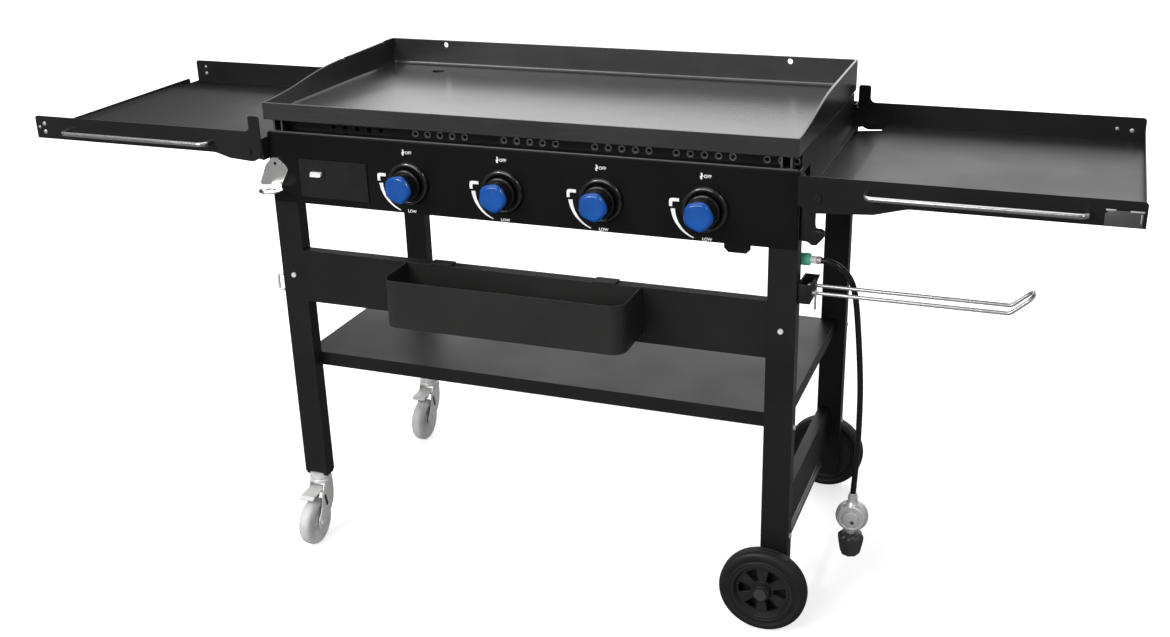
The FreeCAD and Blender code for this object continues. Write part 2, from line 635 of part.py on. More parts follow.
def make_igniter():
    """Square push button of the igniter and the bezel that it slides in."""
    half_w, half_h = "igniter_width / 2", "igniter_height / 2"
    x0, x1 = "igniter_x - " + half_w, "igniter_x + " + half_w
    z0, z1 = IGNITER_Z + " - " + half_h, IGNITER_Z + " + " + half_h
    rim = block(x0, x1, "-sheet_gauge - 3", "-sheet_gauge", z0, z1)
    plaque = block("igniter_x - plaque_inset", "igniter_x - plaque_inset + plaque_width",
                   "-sheet_gauge - plaque_gauge", "-sheet_gauge",
                   IGNITER_Z + " + " + half_h + " + plaque_rise - plaque_height",
                   IGNITER_Z + " + " + half_h + " + plaque_rise")
    barrel = block(x0 + " + 3", x1 + " - 3", "-sheet_gauge", "igniter_depth",
                   z0 + " + 3", z1 + " - 3")
    well = block(x0 + " + 5", x1 + " - 5", "-sheet_gauge - 4", "igniter_depth - 2",
                 z0 + " + 5", z1 + " - 5")
    node("igniter_housing", without(joined(rim, plaque, barrel), well))
    gap = "seat_gap"
    button = block(x0 + " + 5 + " + gap, x1 + " - 5 - " + gap,
                   "-sheet_gauge - 3 - igniter_travel", "igniter_depth - 2 - igniter_travel - 1",
                   z0 + " + 5 + " + gap, z1 + " - 5 - " + gap)
    return node("igniter_button", button)


def make_leg(side, end):
    """Rectangular tube leg, open at the top and closed at the foot."""
    sign = dict(SIDES)[side]
    edges = sorted(("%d * %s" % (sign, HALF_FRAME),
                    "%d * (%s - leg_width)" % (sign, HALF_FRAME)), key=size)
    start = "0" if end == "front" else "frame_depth - leg_depth"
    foot = "leg_foot_" + side
    top = "panel_top - sheet_gauge"
    outer = block(edges[0], edges[1], start, start + " + leg_depth", foot, top)
    inner = block(edges[0] + " + leg_gauge", edges[1] + " - leg_gauge",
                  start + " + leg_gauge", start + " + leg_depth - leg_gauge",
                  foot + " + leg_gauge", top + " + 1")
    if side == "left":
        bore = rod("caster_stem", "leg_gauge + 2", CASTER_X, start + " + leg_depth / 2",
                   foot + " - 1")
    else:
        bore = rod("axle_radius", "leg_depth + 2", "wheel_x", start + " - 1", WHEEL_Z, ALONG_Y)
    return node("leg_%s_%s" % (end, side), without(outer, inner, bore))


def make_front_rail():
    """Channel between the front legs, flanges turned back."""
    half = HALF_FRAME + " - leg_width"
    bottom = "rail_top - rail_height"
    face = block("-(%s)" % half, half, "0", "sheet_gauge", bottom, "rail_top")
    upper = block("-(%s)" % half, half, "0", "rail_flange", "rail_top - sheet_gauge", "rail_top")
    lower = block("-(%s)" % half, half, "0", "rail_flange", bottom, bottom + " + sheet_gauge")
    ends = [block(*span, "0", "rail_flange", bottom, "rail_top") for span in
            (("-(%s)" % half, "-(%s) + sheet_gauge" % half), (half + " - sheet_gauge", half))]
    return node("front_rail", joined(face, upper, lower, *ends))


def make_lower_shelf():
    """Sheet with all four edges folded down, between the front and rear legs."""
    half = "shelf_width / 2"
    front, rear = "leg_depth", "frame_depth - leg_depth"
    outer = block("-" + half, half, front, rear, "shelf_top - shelf_flange", "shelf_top")
    inner = block("-%s + sheet_gauge" % half, half + " - sheet_gauge",
                  front + " + sheet_gauge", rear + " - sheet_gauge",
                  "shelf_top - shelf_flange - 1", "shelf_top - sheet_gauge")
    return node("lower_shelf", without(outer, inner))


def make_side_rail():
    """Channel low between the right legs."""
    outer_x = HALF_FRAME + " - leg_width / 2"
    bottom = "side_rail_top - side_rail_height"
    front, rear = "leg_depth", "frame_depth - leg_depth"
    web = block(outer_x + " - sheet_gauge", outer_x, front, rear, bottom, "side_rail_top")
    flanges = [block(outer_x + " - rail_flange", outer_x, front, rear, low, low + " + sheet_gauge")
               for low in (bottom, "side_rail_top - sheet_gauge")]
    return node("side_rail", joined(web, *flanges))


def make_bin():
    """Open bin with rounded corners and two hooks over the front rail."""
    half, back = "bin_width / 2", "-seat_gap"
    bottom = "rail_top - bin_height"
    gauge = "sheet_gauge"
    outline = [("-" + half, "-bin_depth"), (half, "-bin_depth"), (half, back), ("-" + half, back)]
    outer = rounded(padded("XY_Plane", outline, "bin_height"), "bin_corner",
                    lambda edge: upright(edge) and edge.CenterOfMass.y < size("-bin_depth / 2"))
    place(outer, "0", "0", bottom)
    inset = [("-%s + %s" % (half, gauge), "-bin_depth + " + gauge),
             ("%s - %s" % (half, gauge), "-bin_depth + " + gauge),
             ("%s - %s" % (half, gauge), "%s - %s" % (back, gauge)),
             ("-%s + %s" % (half, gauge), "%s - %s" % (back, gauge))]
    inner = rounded(padded("XY_Plane", inset, "bin_height"), "bin_corner - sheet_gauge",
                    lambda edge: upright(edge) and edge.CenterOfMass.y < size("-bin_depth / 2"))
    place(inner, "0", "0", bottom + " + " + gauge)
    hooks = []
    for side in (-1, 1):
        x0 = "%d * bin_width * 0.35 - 20" % side
        x1 = "%d * bin_width * 0.35 + 20" % side
        rear = "rail_flange + seat_gap + sheet_gauge"
        low = "rail_top + seat_gap"
        hooks.append(block(x0, x1, back + " - " + gauge, back, "rail_top - 20", low + " + " + gauge))
        hooks.append(block(x0, x1, back + " - " + gauge, rear, low, low + " + " + gauge))
        hooks.append(block(x0, x1, rear + " - " + gauge, rear, low + " - 9", low + " + " + gauge))
    return node("tool_bin", joined(without(outer, inner), *hooks))


def near(x, z, reach=1.5):
    """A test that picks the edge along Y through a point of the side view."""
    spot = VEC(size(x), 0, size(z))

    def found(edge):
        middle = VEC(edge.CenterOfMass.x, 0, edge.CenterOfMass.z)
        return middle.distanceToPoint(spot) < reach and edge.BoundBox.XLength < 0.1

    return found


def table_wall(sign, y, eared):
    """One upright wall of a side shelf, with its deep inner end round the hinge pin."""
    top, low = "(table_floor + table_rise)", "(table_floor - table_gauge)"
    kind = "eared" if eared else "plain"
    deep = "(%s - %s_drop)" % (low, kind)
    reach = "(%s + %s_reach)" % (HALF_FRAME, kind)
    bend = "(%s + %s_reach * 0.7)" % (HALF_FRAME, kind)
    start = [(TABLE_IN, top)]
    if eared:
        start = [(TABLE_IN + " + ear_width", top), (TABLE_IN + " + ear_width", top + " + ear_rise"),
                 (TABLE_IN, top + " + ear_rise")]
    outline = start + [(TABLE_IN, deep), (bend, deep + " + 0.35 * %s_drop" % kind), (reach, low),
                       ("table_reach", low), ("table_reach", top)]
    outline = [("%d * (%s)" % (sign, x), z) for x, z in outline]
    pin_hole = ("%d * %s" % (sign, PIVOT_X), PIVOT_Z, "pin_radius + running_gap")
    wall = padded("XZ_Plane", outline, "table_gauge", [pin_hole])
    corners = [("table_reach", top, "table_ease"), ("table_reach", low, "table_ease / 2"),
               (TABLE_IN, deep, "knuckle_round"), (reach, low, "knuckle_round * 2")]
    if eared:
        corners += [(TABLE_IN + " + ear_width", top, "ear_foot"),
                    (TABLE_IN + " + ear_width", top + " + ear_rise", "ear_foot / 2"),
                    (TABLE_IN, top + " + ear_rise", "ear_foot / 2")]
    for x, z, radius in corners:
        rounded(wall, radius, near("%d * (%s)" % (sign, x), z))
    return place(wall, "0", y, "0")


def make_table(side):
    """Folded side shelf: a tray with a low outer lip and a creased floor.

    One part serves both sides, turned half round: its eared wall is in front on the left.
    """
    sign = dict(SIDES)[side]
    walls = [table_wall(sign, TABLE_Y0 + " + table_gauge", sign < 0),
             table_wall(sign, TABLE_Y1, sign > 0)]
    crease, hem = "(%s + crease_reach)" % HALF_FRAME, "(%s + hem_reach)" % HALF_FRAME
    dip = "(table_floor - floor_dip)"
    crest, inner = dip + " + hem_rise", hem + " - hem_width"
    upper = [("table_reach - table_gauge", "table_floor + table_lip"),
             ("table_reach - table_gauge", "table_floor"), (crease, "table_floor"),
             (hem + " + table_gauge", dip), (hem + " + table_gauge", crest), (inner, crest)]
    lower = [(inner, crest + " - table_gauge"), (hem, crest + " - table_gauge"),
             (hem, dip + " - table_gauge"), (crease, "table_floor - table_gauge"),
             ("table_reach", "table_floor - table_gauge"),
             ("table_reach", "table_floor + table_lip")]
    outline = [("%d * (%s)" % (sign, x), z) for x, z in upper + lower]
    floor = padded("XZ_Plane", outline, "%s - %s" % (TABLE_Y1, TABLE_Y0))
    place(floor, "0", TABLE_Y1, "0")
    notches = []
    edges = sorted(("%d * (%s - 1)" % (sign, HALF_FRAME),
                    "%d * (%s + notch_reach)" % (sign, HALF_FRAME)), key=size)
    for y0, y1 in ((TABLE_Y0 + " - 1", TABLE_Y0 + " + notch_depth"),
                   (TABLE_Y1 + " - notch_depth", TABLE_Y1 + " + 1")):
        notches.append(block(edges[0], edges[1], y0, y1, dip + " - hem_rise",
                             "table_floor + table_rise"))
    return node("side_shelf_" + side, joined(without(floor, *notches), *walls))


def make_hinge_bracket(side):
    """Pair of angle brackets on the legs that carry a side shelf."""
    sign = dict(SIDES)[side]
    low, high = PIVOT_Z + " - bracket_drop", PIVOT_Z + " + bracket_rise"
    brackets = []
    for arm_y, leg_y0, leg_y1 in (
            (TABLE_Y0 + " + table_gauge + seat_gap", TABLE_Y0 + " + table_gauge + seat_gap",
             "bracket_lap"),
            (TABLE_Y1 + " - table_gauge - seat_gap - bracket_gauge",
             "frame_depth - bracket_lap",
             TABLE_Y1 + " - table_gauge - seat_gap")):
        outline = [(HALF_FRAME, low), (PIVOT_X, PIVOT_Z + " - pin_radius * 2.2"),
                   (PIVOT_X, PIVOT_Z + " + pin_radius * 2.2"),
                   (HALF_FRAME + " + bracket_lap / 2", high), (HALF_FRAME, high)]
        outline = [("%d * (%s)" % (sign, x), z) for x, z in outline]
        arm = place(padded("XZ_Plane", outline, "bracket_gauge"), "0",
                    arm_y + " + bracket_gauge", "0")
        tip = rod("pin_radius * 2.2", "bracket_gauge", "%d * %s" % (sign, PIVOT_X), arm_y,
                  PIVOT_Z, ALONG_Y)
        edges = sorted(("%d * %s" % (sign, HALF_FRAME),
                        "%d * (%s + bracket_gauge)" % (sign, HALF_FRAME)), key=size)
        cheek = block(edges[0], edges[1], leg_y0, leg_y1, low, high)
        hole = rod("pin_radius", "bracket_gauge + 2", "%d * %s" % (sign, PIVOT_X),
                   arm_y + " - 1", PIVOT_Z, ALONG_Y)
        brackets.append(without(joined(arm, tip, cheek), hole))
    return node("hinge_brackets_" + side, gathered(*brackets))


def make_hinge_pins():
    """Four headed pins that the side shelves turn on."""
    grip = "table_gauge + seat_gap * 2 + bracket_gauge"
    pins = []
    for _, sign in SIDES:
        x = "%d * %s" % (sign, PIVOT_X)
        for start, head in (
                (TABLE_Y0 + " - seat_gap", TABLE_Y0 + " - seat_gap - pin_head"),
                (TABLE_Y1 + " + seat_gap - (%s)" % grip, TABLE_Y1 + " + seat_gap")):
            pins.append(joined(rod("pin_radius", grip, x, start, PIVOT_Z, ALONG_Y),
                               rod("pin_radius * 1.8", "pin_head", x, head, PIVOT_Z, ALONG_Y)))
    return node("hinge_pins", gathered(*pins))


def tube_along(points, radius, bends):
    """A round tube along straight runs joined by tangent arcs, from its first point.

    bends holds the radius of the arc at each inner point.
    """
    spots = [VEC(*[size(value) for value in point]) for point in points]
    start = spots[0]
    spots = [spot - start for spot in spots]
    edges, last = [], spots[0]
    for before, here, after, bend in zip(spots, spots[1:], spots[2:], bends):
        come, go = (here - before).normalize(), (after - here).normalize()
        turn = come.getAngle(go)
        reach = bend * math.tan(turn / 2)
        first, final = here - come * reach, here + go * reach
        inward = (go - come).normalize()
        middle = here + inward * (bend / math.cos(turn / 2) - bend)
        edges.append(Part.LineSegment(last, first).toShape())
        edges.append(Part.Arc(first, middle, final).toShape())
        last = final
    edges.append(Part.LineSegment(last, spots[-1]).toShape())
    path = Part.Wire(edges)
    direction = spots[1] - spots[0]
    section = Part.Wire(Part.Circle(spots[0], direction, radius).toShape())
    item = doc.addObject("Part::Feature", "Tube")
    item.Shape = path.makePipeShell([section], True, False)
    x, y, z = points[0]
    place(item, x, y, z)
    return item, path.Length


def make_towel_rod(side):
    """Chrome rod before the front wall of a side shelf, its ends bent in."""
    sign = dict(SIDES)[side]
    z = "table_floor + towel_rod_rise"
    wall, proud = TABLE_Y0, TABLE_Y0 + " - towel_rod_proud"
    near = "%d * towel_rod_start" % sign
    far = "%d * (towel_rod_start + towel_rod_length)" % sign
    points = [(near, wall, z), (near, proud, z), (far, proud, z), (far, wall, z)]
    bend = size("towel_rod_radius") * 3
    rod_item, _ = tube_along(points, size("towel_rod_radius"), [bend, bend])
    return node("towel_rod_" + side, rod_item)


def make_towel_holder():
    """Chrome wire in a long U with an upturned end, held in a bracket at the leg."""
    front, rear = "wire_front", "wire_front + wire_spread"
    start, tip = HALF_FRAME + " + 8", "wire_end - wire_radius"
    low, high = "wire_height", "wire_height + wire_lift"
    knee = "wire_end - 34"
    points = [(start, front, low), (knee, front, low), (tip, front, high), (tip, rear, high),
              (knee, rear, low), (start, rear, low)]
    bend = size("wire_radius") * 4
    wire, _ = tube_along(points, size("wire_radius"), [bend] * 4)
    return node("towel_holder", wire)


def make_holder_bracket():
    """Angle at the outside of the front right leg that takes both ends of the wire."""
    face = HALF_FRAME + " + bracket_gauge"
    plate = block(HALF_FRAME, face, "2", "wire_front + wire_spread + 13",
                  "wire_height - 21", "wire_height + 18")
    sockets, bores = [], []
    for y in ("wire_front", "wire_front + wire_spread"):
        sockets.append(rod("wire_radius + 2.5", "wire_socket", face, y, "wire_height", ALONG_X))
        bores.append(rod("wire_radius", "wire_socket", HALF_FRAME + " + 8", y, "wire_height",
                         ALONG_X))
    return node("holder_bracket", without(joined(plate, *sockets), *bores))


def make_bottle_opener():
    """Stainless plate screwed to the left end of the panel, its ring bent forward."""
    x, top = "(opener_inset - %s)" % HALF_FRAME, "(panel_top - opener_drop)"
    low = "(%s - opener_height)" % top
    face = "(-sheet_gauge)"
    half = "opener_neck / 2"
    outline = [("-6", top), ("6", top), ("24", top + " - 16"), ("25", top + " - 21"),
               (half, low + " + 6"), (half, low), ("-" + half, low), ("-" + half, low + " + 5"),
               ("-33", low + " + 3"), ("-34.5", low + " + 7"), ("-20", top + " - 14")]
    outline = [("%s + %s" % (x, across), z) for across, z in outline]
    plate = padded("XZ_Plane", outline, "opener_gauge", [(x, top + " - 10", "3")])
    for number in (0, 1, 2, 3, 8, 9, 10):
        rounded(plate, "3" if number in (8, 9) else "6", near(*outline[number]))
    place(plate, "0", face, "0")
    front = "(%s - opener_gauge - opener_ring)" % face
    neck = block("%s - %s" % (x, half), "%s + %s" % (x, half), front, face, low,
                 low + " + opener_gauge")
    ring = rod("opener_ring", "opener_gauge", x, front, low)
    mouth = rod("opener_mouth", "opener_gauge + 2", x, front + " - 1", low + " - 1")
    return node("bottle_opener", without(joined(plate, neck, ring), mouth))


def make_side_hooks():
    """Tool hook on the left leg and hose hook on the right leg."""
    y = "leg_depth / 2"
    hooks = []
    for sign, z in ((-1, "rail_top - hook_below"), (1, "wire_height + hook_above")):
        x0 = "%d * %s" % (sign, HALF_FRAME)
        x1 = "%d * (%s + hook_proud)" % (sign, HALF_FRAME)
        tip = "%d * (%s + hook_tip)" % (sign, HALF_FRAME)
        low = z + " - hook_drop"
        bend = 2.4 * size("hook_wire")
        points = [(x0, y, z), (x1, y, z), (x1, y, low), (tip, y, low)]
        wire, _ = tube_along(points, size("hook_wire"), [bend, bend])
        hooks.append(wire)
    return node("side_hooks", gathered(*hooks))


def make_tyre(end):
    """Rounded rubber tyre of a large wheel."""
    r, w, b = "wheel_radius", "wheel_width", "wheel_radius - tyre_depth"
    tyre = turned([(b, "2"), (r + " - 9", "0"), (r + " - 3", "3"), (r, "9"), (r, w + " - 9"),
                   (r + " - 3", w + " - 3"), (r + " - 9", w), (b, w + " - 2")])
    return node("tyre_" + end, place(tyre, "wheel_x", wheel_face(end), WHEEL_Z, wheel_turn(end)))


def wheel_face(end):
    """Inner side of a large wheel."""
    return "-wheel_gap" if end == "front" else "frame_depth + wheel_gap"


def wheel_turn(end):
    return TOWARDS_COOK if end == "front" else ALONG_Y


def make_rim(end):
    """Moulded rim with six spokes and a long hub."""
    r, w = "wheel_radius - tyre_depth", "wheel_width"
    rim = turned([("axle_radius + running_gap", "-hub_proud"), ("15", "-hub_proud"), ("15", w + " / 2 + 2"),
                  (r + " - 10", w + " / 2 + 2"), (r + " - 7", "4"), (r, "2"), (r, w + " - 2"),
                  (r + " - 5", w + " - 2"), (r + " - 9", w + " / 2 + 8"), ("17", w + " / 2 + 8"),
                  ("14", w + " + hub_proud"), ("axle_radius + running_gap", w + " + hub_proud")])
    place(rim, "wheel_x", wheel_face(end), WHEEL_Z, wheel_turn(end))
    openings = []
    for spoke in range(6):
        angle = 60 * spoke
        hole = padded("XY_Plane", [("19", "-4"), (r + " - 14", "-11"), (r + " - 12", "0"),
                                   (r + " - 14", "11"), ("19", "4")], w + " + 10")
        turn = wheel_turn(end) * FreeCAD.Rotation(VEC(0, 0, 1), angle)
        openings.append(place(hole, "wheel_x", wheel_face(end), WHEEL_Z, turn))
    return node("rim_" + end, without(rim, *openings))


def make_axle():
    """One rod through the right legs, with a cap at each end."""
    front = "-" + AXLE_REACH
    shaft = rod("axle_radius", "frame_depth + 2 * " + AXLE_REACH, "wheel_x", front, WHEEL_Z, ALONG_Y)
    rear_cap = "frame_depth + %s - cap_height" % AXLE_REACH
    caps = [rod("axle_radius + 5", "cap_height", "wheel_x", y, WHEEL_Z, ALONG_Y)
            for y in (front, rear_cap)]
    return node("wheel_axle", joined(shaft, *caps))


CASTERS = (("front", "leg_depth / 2"), ("rear", "(frame_depth - leg_depth / 2)"))
CROWN = "(leg_foot_left - caster_plate - seat_gap)"


def make_caster_stems():
    """Threaded stems with their bearing plates under the left legs."""
    stems = []
    for _, y in CASTERS:
        nut = "%s - fork_gauge - seat_gap" % CROWN
        stems.append(joined(
            rod("caster_stem", "leg_foot_left + 30 - (%s)" % nut, CASTER_X, y, nut),
            rod("fork_crown", "caster_plate", CASTER_X, y, "leg_foot_left - caster_plate"),
            rod("caster_stem + 4", "4", CASTER_X, y, nut + " - 4")))
    return node("caster_stems", gathered(*stems))


def make_fork(end, y):
    """Pressed fork of a caster: a round crown and two tapered cheeks."""
    inside = "(caster_width / 2 + fork_gap)"
    crown = rod("fork_crown", "fork_gauge", CASTER_X, y, CROWN + " - fork_gauge")
    outline = [("14", CROWN), ("-16", CROWN), ("-caster_trail - 14", "caster_radius + 14"),
               ("-caster_trail - 14", "caster_radius - 6"),
               ("-caster_trail - 6", "caster_radius - 14"),
               ("-caster_trail + 8", "caster_radius - 12"), ("-10", "caster_radius + 26")]
    cheeks = []
    for x in ("-%s - fork_gauge" % inside, inside):
        cheek = padded("YZ_Plane", outline, "fork_gauge",
                       [("-caster_trail", "caster_radius", "caster_pin"),
                        (PEDAL_Y, PEDAL_Z, "pedal_pin")])
        cheeks.append(place(cheek, CASTER_X + " + " + x, y, "0"))
    bridge = block(CASTER_X + " - %s - fork_gauge" % inside, CASTER_X + " + %s + fork_gauge" % inside,
                   y + " - 16", y + " + 14", CROWN + " - fork_gauge", CROWN)
    bore = rod("caster_stem + running_gap", "fork_gauge + 2", CASTER_X, y, CROWN + " - fork_gauge - 1")
    return node("caster_fork_" + end, without(joined(crown, bridge, *cheeks), bore))


PEDAL_Y, PEDAL_Z = "(-12)", "(caster_radius + 60)"


def make_caster_wheel(end, y):
    """Caster tyre and hub in one moulding, on its axle."""
    r, w = "caster_radius", "caster_width"
    wheel = turned([("caster_pin + running_gap", "0"), ("12", "0"), ("14", "3"), (r + " - 16", "3"),
                    (r + " - 12", "0.5"), (r + " - 4", "1"), (r, "6"), (r, w + " - 6"),
                    (r + " - 4", w + " - 1"), (r + " - 12", w + " - 0.5"), (r + " - 16", w + " - 3"),
                    ("14", w + " - 3"), ("12", w), ("caster_pin + running_gap", w)])
    place(wheel, CASTER_X + " - caster_width / 2", y + " - caster_trail", "caster_radius", ALONG_X)
    return node("caster_wheel_" + end, wheel)


def make_caster_pins():
    """Axles and pedal pins of both casters, by caster."""
    for end, y in CASTERS:
        reach = "(caster_width / 2 + fork_gap + fork_gauge)"
        axle = joined(rod("caster_pin", "2 * %s" % reach, CASTER_X + " - " + reach,
                          y + " - caster_trail", "caster_radius", ALONG_X),
                      rod("caster_pin + 3", "3", CASTER_X + " + " + reach,
                          y + " - caster_trail", "caster_radius", ALONG_X),
                      rod("caster_pin + 3", "3", CASTER_X + " - %s - 3" % reach,
                          y + " - caster_trail", "caster_radius", ALONG_X))
        pivot = rod("pedal_pin", "2 * %s" % reach, CASTER_X + " - " + reach, y + " + " + PEDAL_Y,
                    PEDAL_Z, ALONG_X)
        node("caster_pins_" + end, gathered(axle, pivot))


def make_pedal(end, y):
    """Brake pedal that turns on its pin between the cheeks of the fork."""
    outline = [("-6", "3"), ("-6", "-6"), ("6", "-6"), ("7", "1"), ("4", "5"), ("-40", "2"),
               ("-46", "-2"), ("-46", "-4"), ("-38", "-1.5")]
    half = "(caster_width / 2 + fork_gap - seat_gap)"
    pedal = padded("YZ_Plane", outline, "2 * " + half,
                   [("0", "0", "pedal_pin + running_gap")])
    place(pedal, CASTER_X + " - " + half, y + " + " + PEDAL_Y, PEDAL_Z)
    return node("caster_pedal_" + end, pedal)


HOSE_POINTS = (
    (493, 46, 654), (508, 46, 654), (523.2, 47, 649.2), (536.6, 49.5, 639.1),
    (546.7, 54.1, 623.7), (552.5, 61.3, 601.6), (555, 72.2, 571.6), (557.2, 84, 531.3),
    (560, 95.9, 478.7), (563, 106, 415.6), (563, 114.4, 346), (561.6, 120.2, 274.2),
    (558, 122.3, 205.3))


def make_hose():
    """Gas hose from its ferrule, out beside the rear leg and down to the regulator."""
    shift = VEC(size("hose_start_x") - HOSE_POINTS[0][0], size("pipe_back") - HOSE_POINTS[0][1],
                size("hose_start_z") - HOSE_POINTS[0][2])
    spots = [VEC(*point) + shift for point in HOSE_POINTS]
    bends = []
    for before, here, after in zip(spots, spots[1:], spots[2:]):
        come, go = here - before, after - here
        turn = come.getAngle(go)
        bends.append(0.45 * min(come.Length, go.Length) / math.tan(turn / 2))
    points = [(spot.x, spot.y, spot.z) for spot in spots]
    hose, length = tube_along(points, size("hose_radius"), bends)
    ratio = hose.Shape.Volume / (math.pi * size("hose_radius") ** 2 * length)
    print("hose bends", [round(bend) for bend in bends])
    print("hose length %.0f, volume over section times length %.4f" % (length, ratio))
    node("gas_hose", hose)
    return spots[-2:]


def aligned(direction):
    """The turn that takes +Z to a direction."""
    return FreeCAD.Rotation(VEC(0, 0, 1), direction)


def make_hose_fitting():
    """Inlet fitting: nut, banded collar and spigot."""
    x = "hose_start_x - fitting_length"
    body = turned([("0", "0"), ("fitting_radius + 1.5", "0"), ("fitting_radius + 1.5", "5"),
                   ("fitting_radius", "6"), ("fitting_radius", "20"), ("6", "21"), ("6", "28"), ("0", "28")])
    node("hose_fitting", place(body, x, "pipe_back", "hose_start_z", ALONG_X))
    ferrule = turned([("0", "28"), ("7", "28"), ("7", "30"), ("6.5", "31"), ("6.5", "35"),
                      ("7", "36"), ("7", "fitting_length"), ("0", "fitting_length")])
    node("hose_ferrule", place(ferrule, x, "pipe_back", "hose_start_z", ALONG_X))


DRUM_DROP = "(regulator_radius + collar_length - 4)"
NUT_DROP = "(regulator_radius + 2)"


def make_regulator(spots):
    """Round regulator at the end of the hose, with the neck that its hand nut turns on."""
    x, y, z = ["%.3f" % value for value in spots[-1]]
    middle = "%s - %s" % (z, DRUM_DROP)
    collar = turned([("0", "0"), ("7", "0"), ("7", "5"), ("8.5", "6"), ("8.5", "14"), ("6.5", "15"),
                     ("6.5", "collar_length"), ("0", "collar_length")])
    place(collar, x, y, z, aligned(spots[-1] - spots[-2]))
    r, d = "regulator_radius", "regulator_depth"
    drum = turned([("0", "0"), (r + " - 8", "0"), (r + " - 4", "4"), (r + " - 2", "13"), (r, "14"),
                   (r, "20"), (r + " - 2", "21"), (r + " - 5", d + " - 5"), (r + " - 12", d),
                   ("0", d)])
    place(drum, x, y + " + regulator_depth / 2", middle, TOWARDS_COOK)
    shoulder = NUT_DROP + " - seat_gap"
    flange = NUT_DROP + " + nut_cap + seat_gap"
    spout = turned([("0", "0"), ("8", "0"), ("8", shoulder), ("neck_radius", shoulder),
                    ("neck_radius", flange), ("nut_thread + 1", flange),
                    ("nut_thread + 1", flange + " + 3"), ("0", flange + " + 3")])
    place(spout, x, y, middle, aligned(VEC(0, 0, -1)))
    node("gas_regulator", joined(collar, drum, spout))
    return x, y, "%s - %s" % (middle, NUT_DROP)


def make_hand_nut(x, y, top):
    """Ribbed hand nut that turns on the regulator's neck."""
    hole = "neck_radius + running_gap"
    body = turned([(hole, "0"), ("nut_radius - 5", "0"), ("nut_radius", "6"), ("nut_radius", "22"),
                   ("nut_radius - 4", "nut_height"), ("nut_thread", "nut_height"),
                   ("nut_thread", "nut_cap + nut_pocket"),
                   ("nut_thread + 2", "nut_cap + nut_pocket"), ("nut_thread + 2", "nut_cap"),
                   (hole, "nut_cap")])
    place(body, x, y, top, aligned(VEC(0, 0, -1)))
    ribs = []
    for number in range(10):
        angle = math.radians(36 * number)
        ribs.append(rod("2.2", "nut_height + 2",
                        "%s + (nut_radius + 0.8) * %.6f" % (x, math.cos(angle)),
                        "%s + (nut_radius + 0.8) * %.6f" % (y, math.sin(angle)),
                        top + " - nut_height - 1"))
    return node("hand_nut", without(body, *ribs))


def make_grease_cup():
    """Cup under the drain, its rim on two runners."""
    top = "box_floor - 10"
    cup = turned([("0", "0"), ("cup_radius - 4", "0"), ("cup_radius", "cup_height - 2"),
                  ("cup_radius + 6", "cup_height - 2"), ("cup_radius + 6", "cup_height"),
                  ("cup_radius - 1.2", "cup_height"), ("cup_radius - 5.2", "1.5"), ("0", "1.5")])
    node("grease_cup", place(cup, DRAIN_X, DRAIN_Y, "%s - cup_height" % top))
    runners = []
    for side in (-1, 1):
        near, far = "cup_radius + seat_gap * 2", "cup_radius + 6 + seat_gap"
        edges = []
        for low, high in ((near, far + " + 2"), (far, far + " + 2")):
            spans = sorted(("%s + %d * (%s)" % (DRAIN_X, side, low),
                            "%s + %d * (%s)" % (DRAIN_X, side, high)), key=size)
            edges.append(spans)
        shelf = block(edges[0][0], edges[0][1], DRAIN_Y + " - cup_radius", DRAIN_Y + " + cup_radius",
                      top + " - 4 - seat_gap", top + " - 2 - seat_gap")
        wall = block(edges[1][0], edges[1][1], DRAIN_Y + " - cup_radius", DRAIN_Y + " + cup_radius",
                     top + " - 4 - seat_gap", "box_floor")
        runners.append(joined(shelf, wall))
    return node("cup_runners", gathered(*runners))


def make_bolts():
    """Heads of the bolts that hold the frame together."""
    heads = []
    for sign in (-1, 1):
        x = "%d * (%s - leg_width / 2)" % (sign, HALF_FRAME)
        heads.append(rod("bolt_radius", "bolt_height", x, "-bolt_height",
                         "rail_top - rail_height / 2", ALONG_Y))
        for y in ("leg_depth / 2", "frame_depth - leg_depth / 2"):
            for z in ("shelf_top - shelf_flange / 2", "side_rail_top - 30") if sign > 0 else (
                    "shelf_top - shelf_flange / 2",):
                start = HALF_FRAME if sign > 0 else "-%s - bolt_height" % HALF_FRAME
                heads.append(rod("bolt_radius", "bolt_height", start, y, z, ALONG_X))
    return node("frame_bolts", gathered(*heads))


def build():
    make_pan()
    make_pan_feet()
    make_burner_box()
    make_control_panel()
    make_bezels()
    for number in range(4):
        make_stem(number)
        make_knob(number)
    make_valves()
    make_manifold()
    make_burners()
    make_burner_rail()
    make_igniter()
    for side, _ in SIDES:
        for end in ("front", "rear"):
            make_leg(side, end)
        make_table(side)
        make_hinge_bracket(side)
        make_towel_rod(side)
    make_hinge_pins()
    make_front_rail()
    make_lower_shelf()
    make_side_rail()
    make_bin()
    make_towel_holder()
    make_holder_bracket()
    make_bottle_opener()
    make_side_hooks()
    for end in ("front", "rear"):
        make_tyre(end)
        make_rim(end)
    make_axle()
    make_caster_stems()
    for end, y in CASTERS:
        make_fork(end, y)
        make_caster_wheel(end, y)
        make_pedal(end, y)
    make_caster_pins()
    make_hose_fitting()
    spots = make_hose()
    make_hand_nut(*make_regulator(spots))
    make_grease_cup()
    make_bolts()


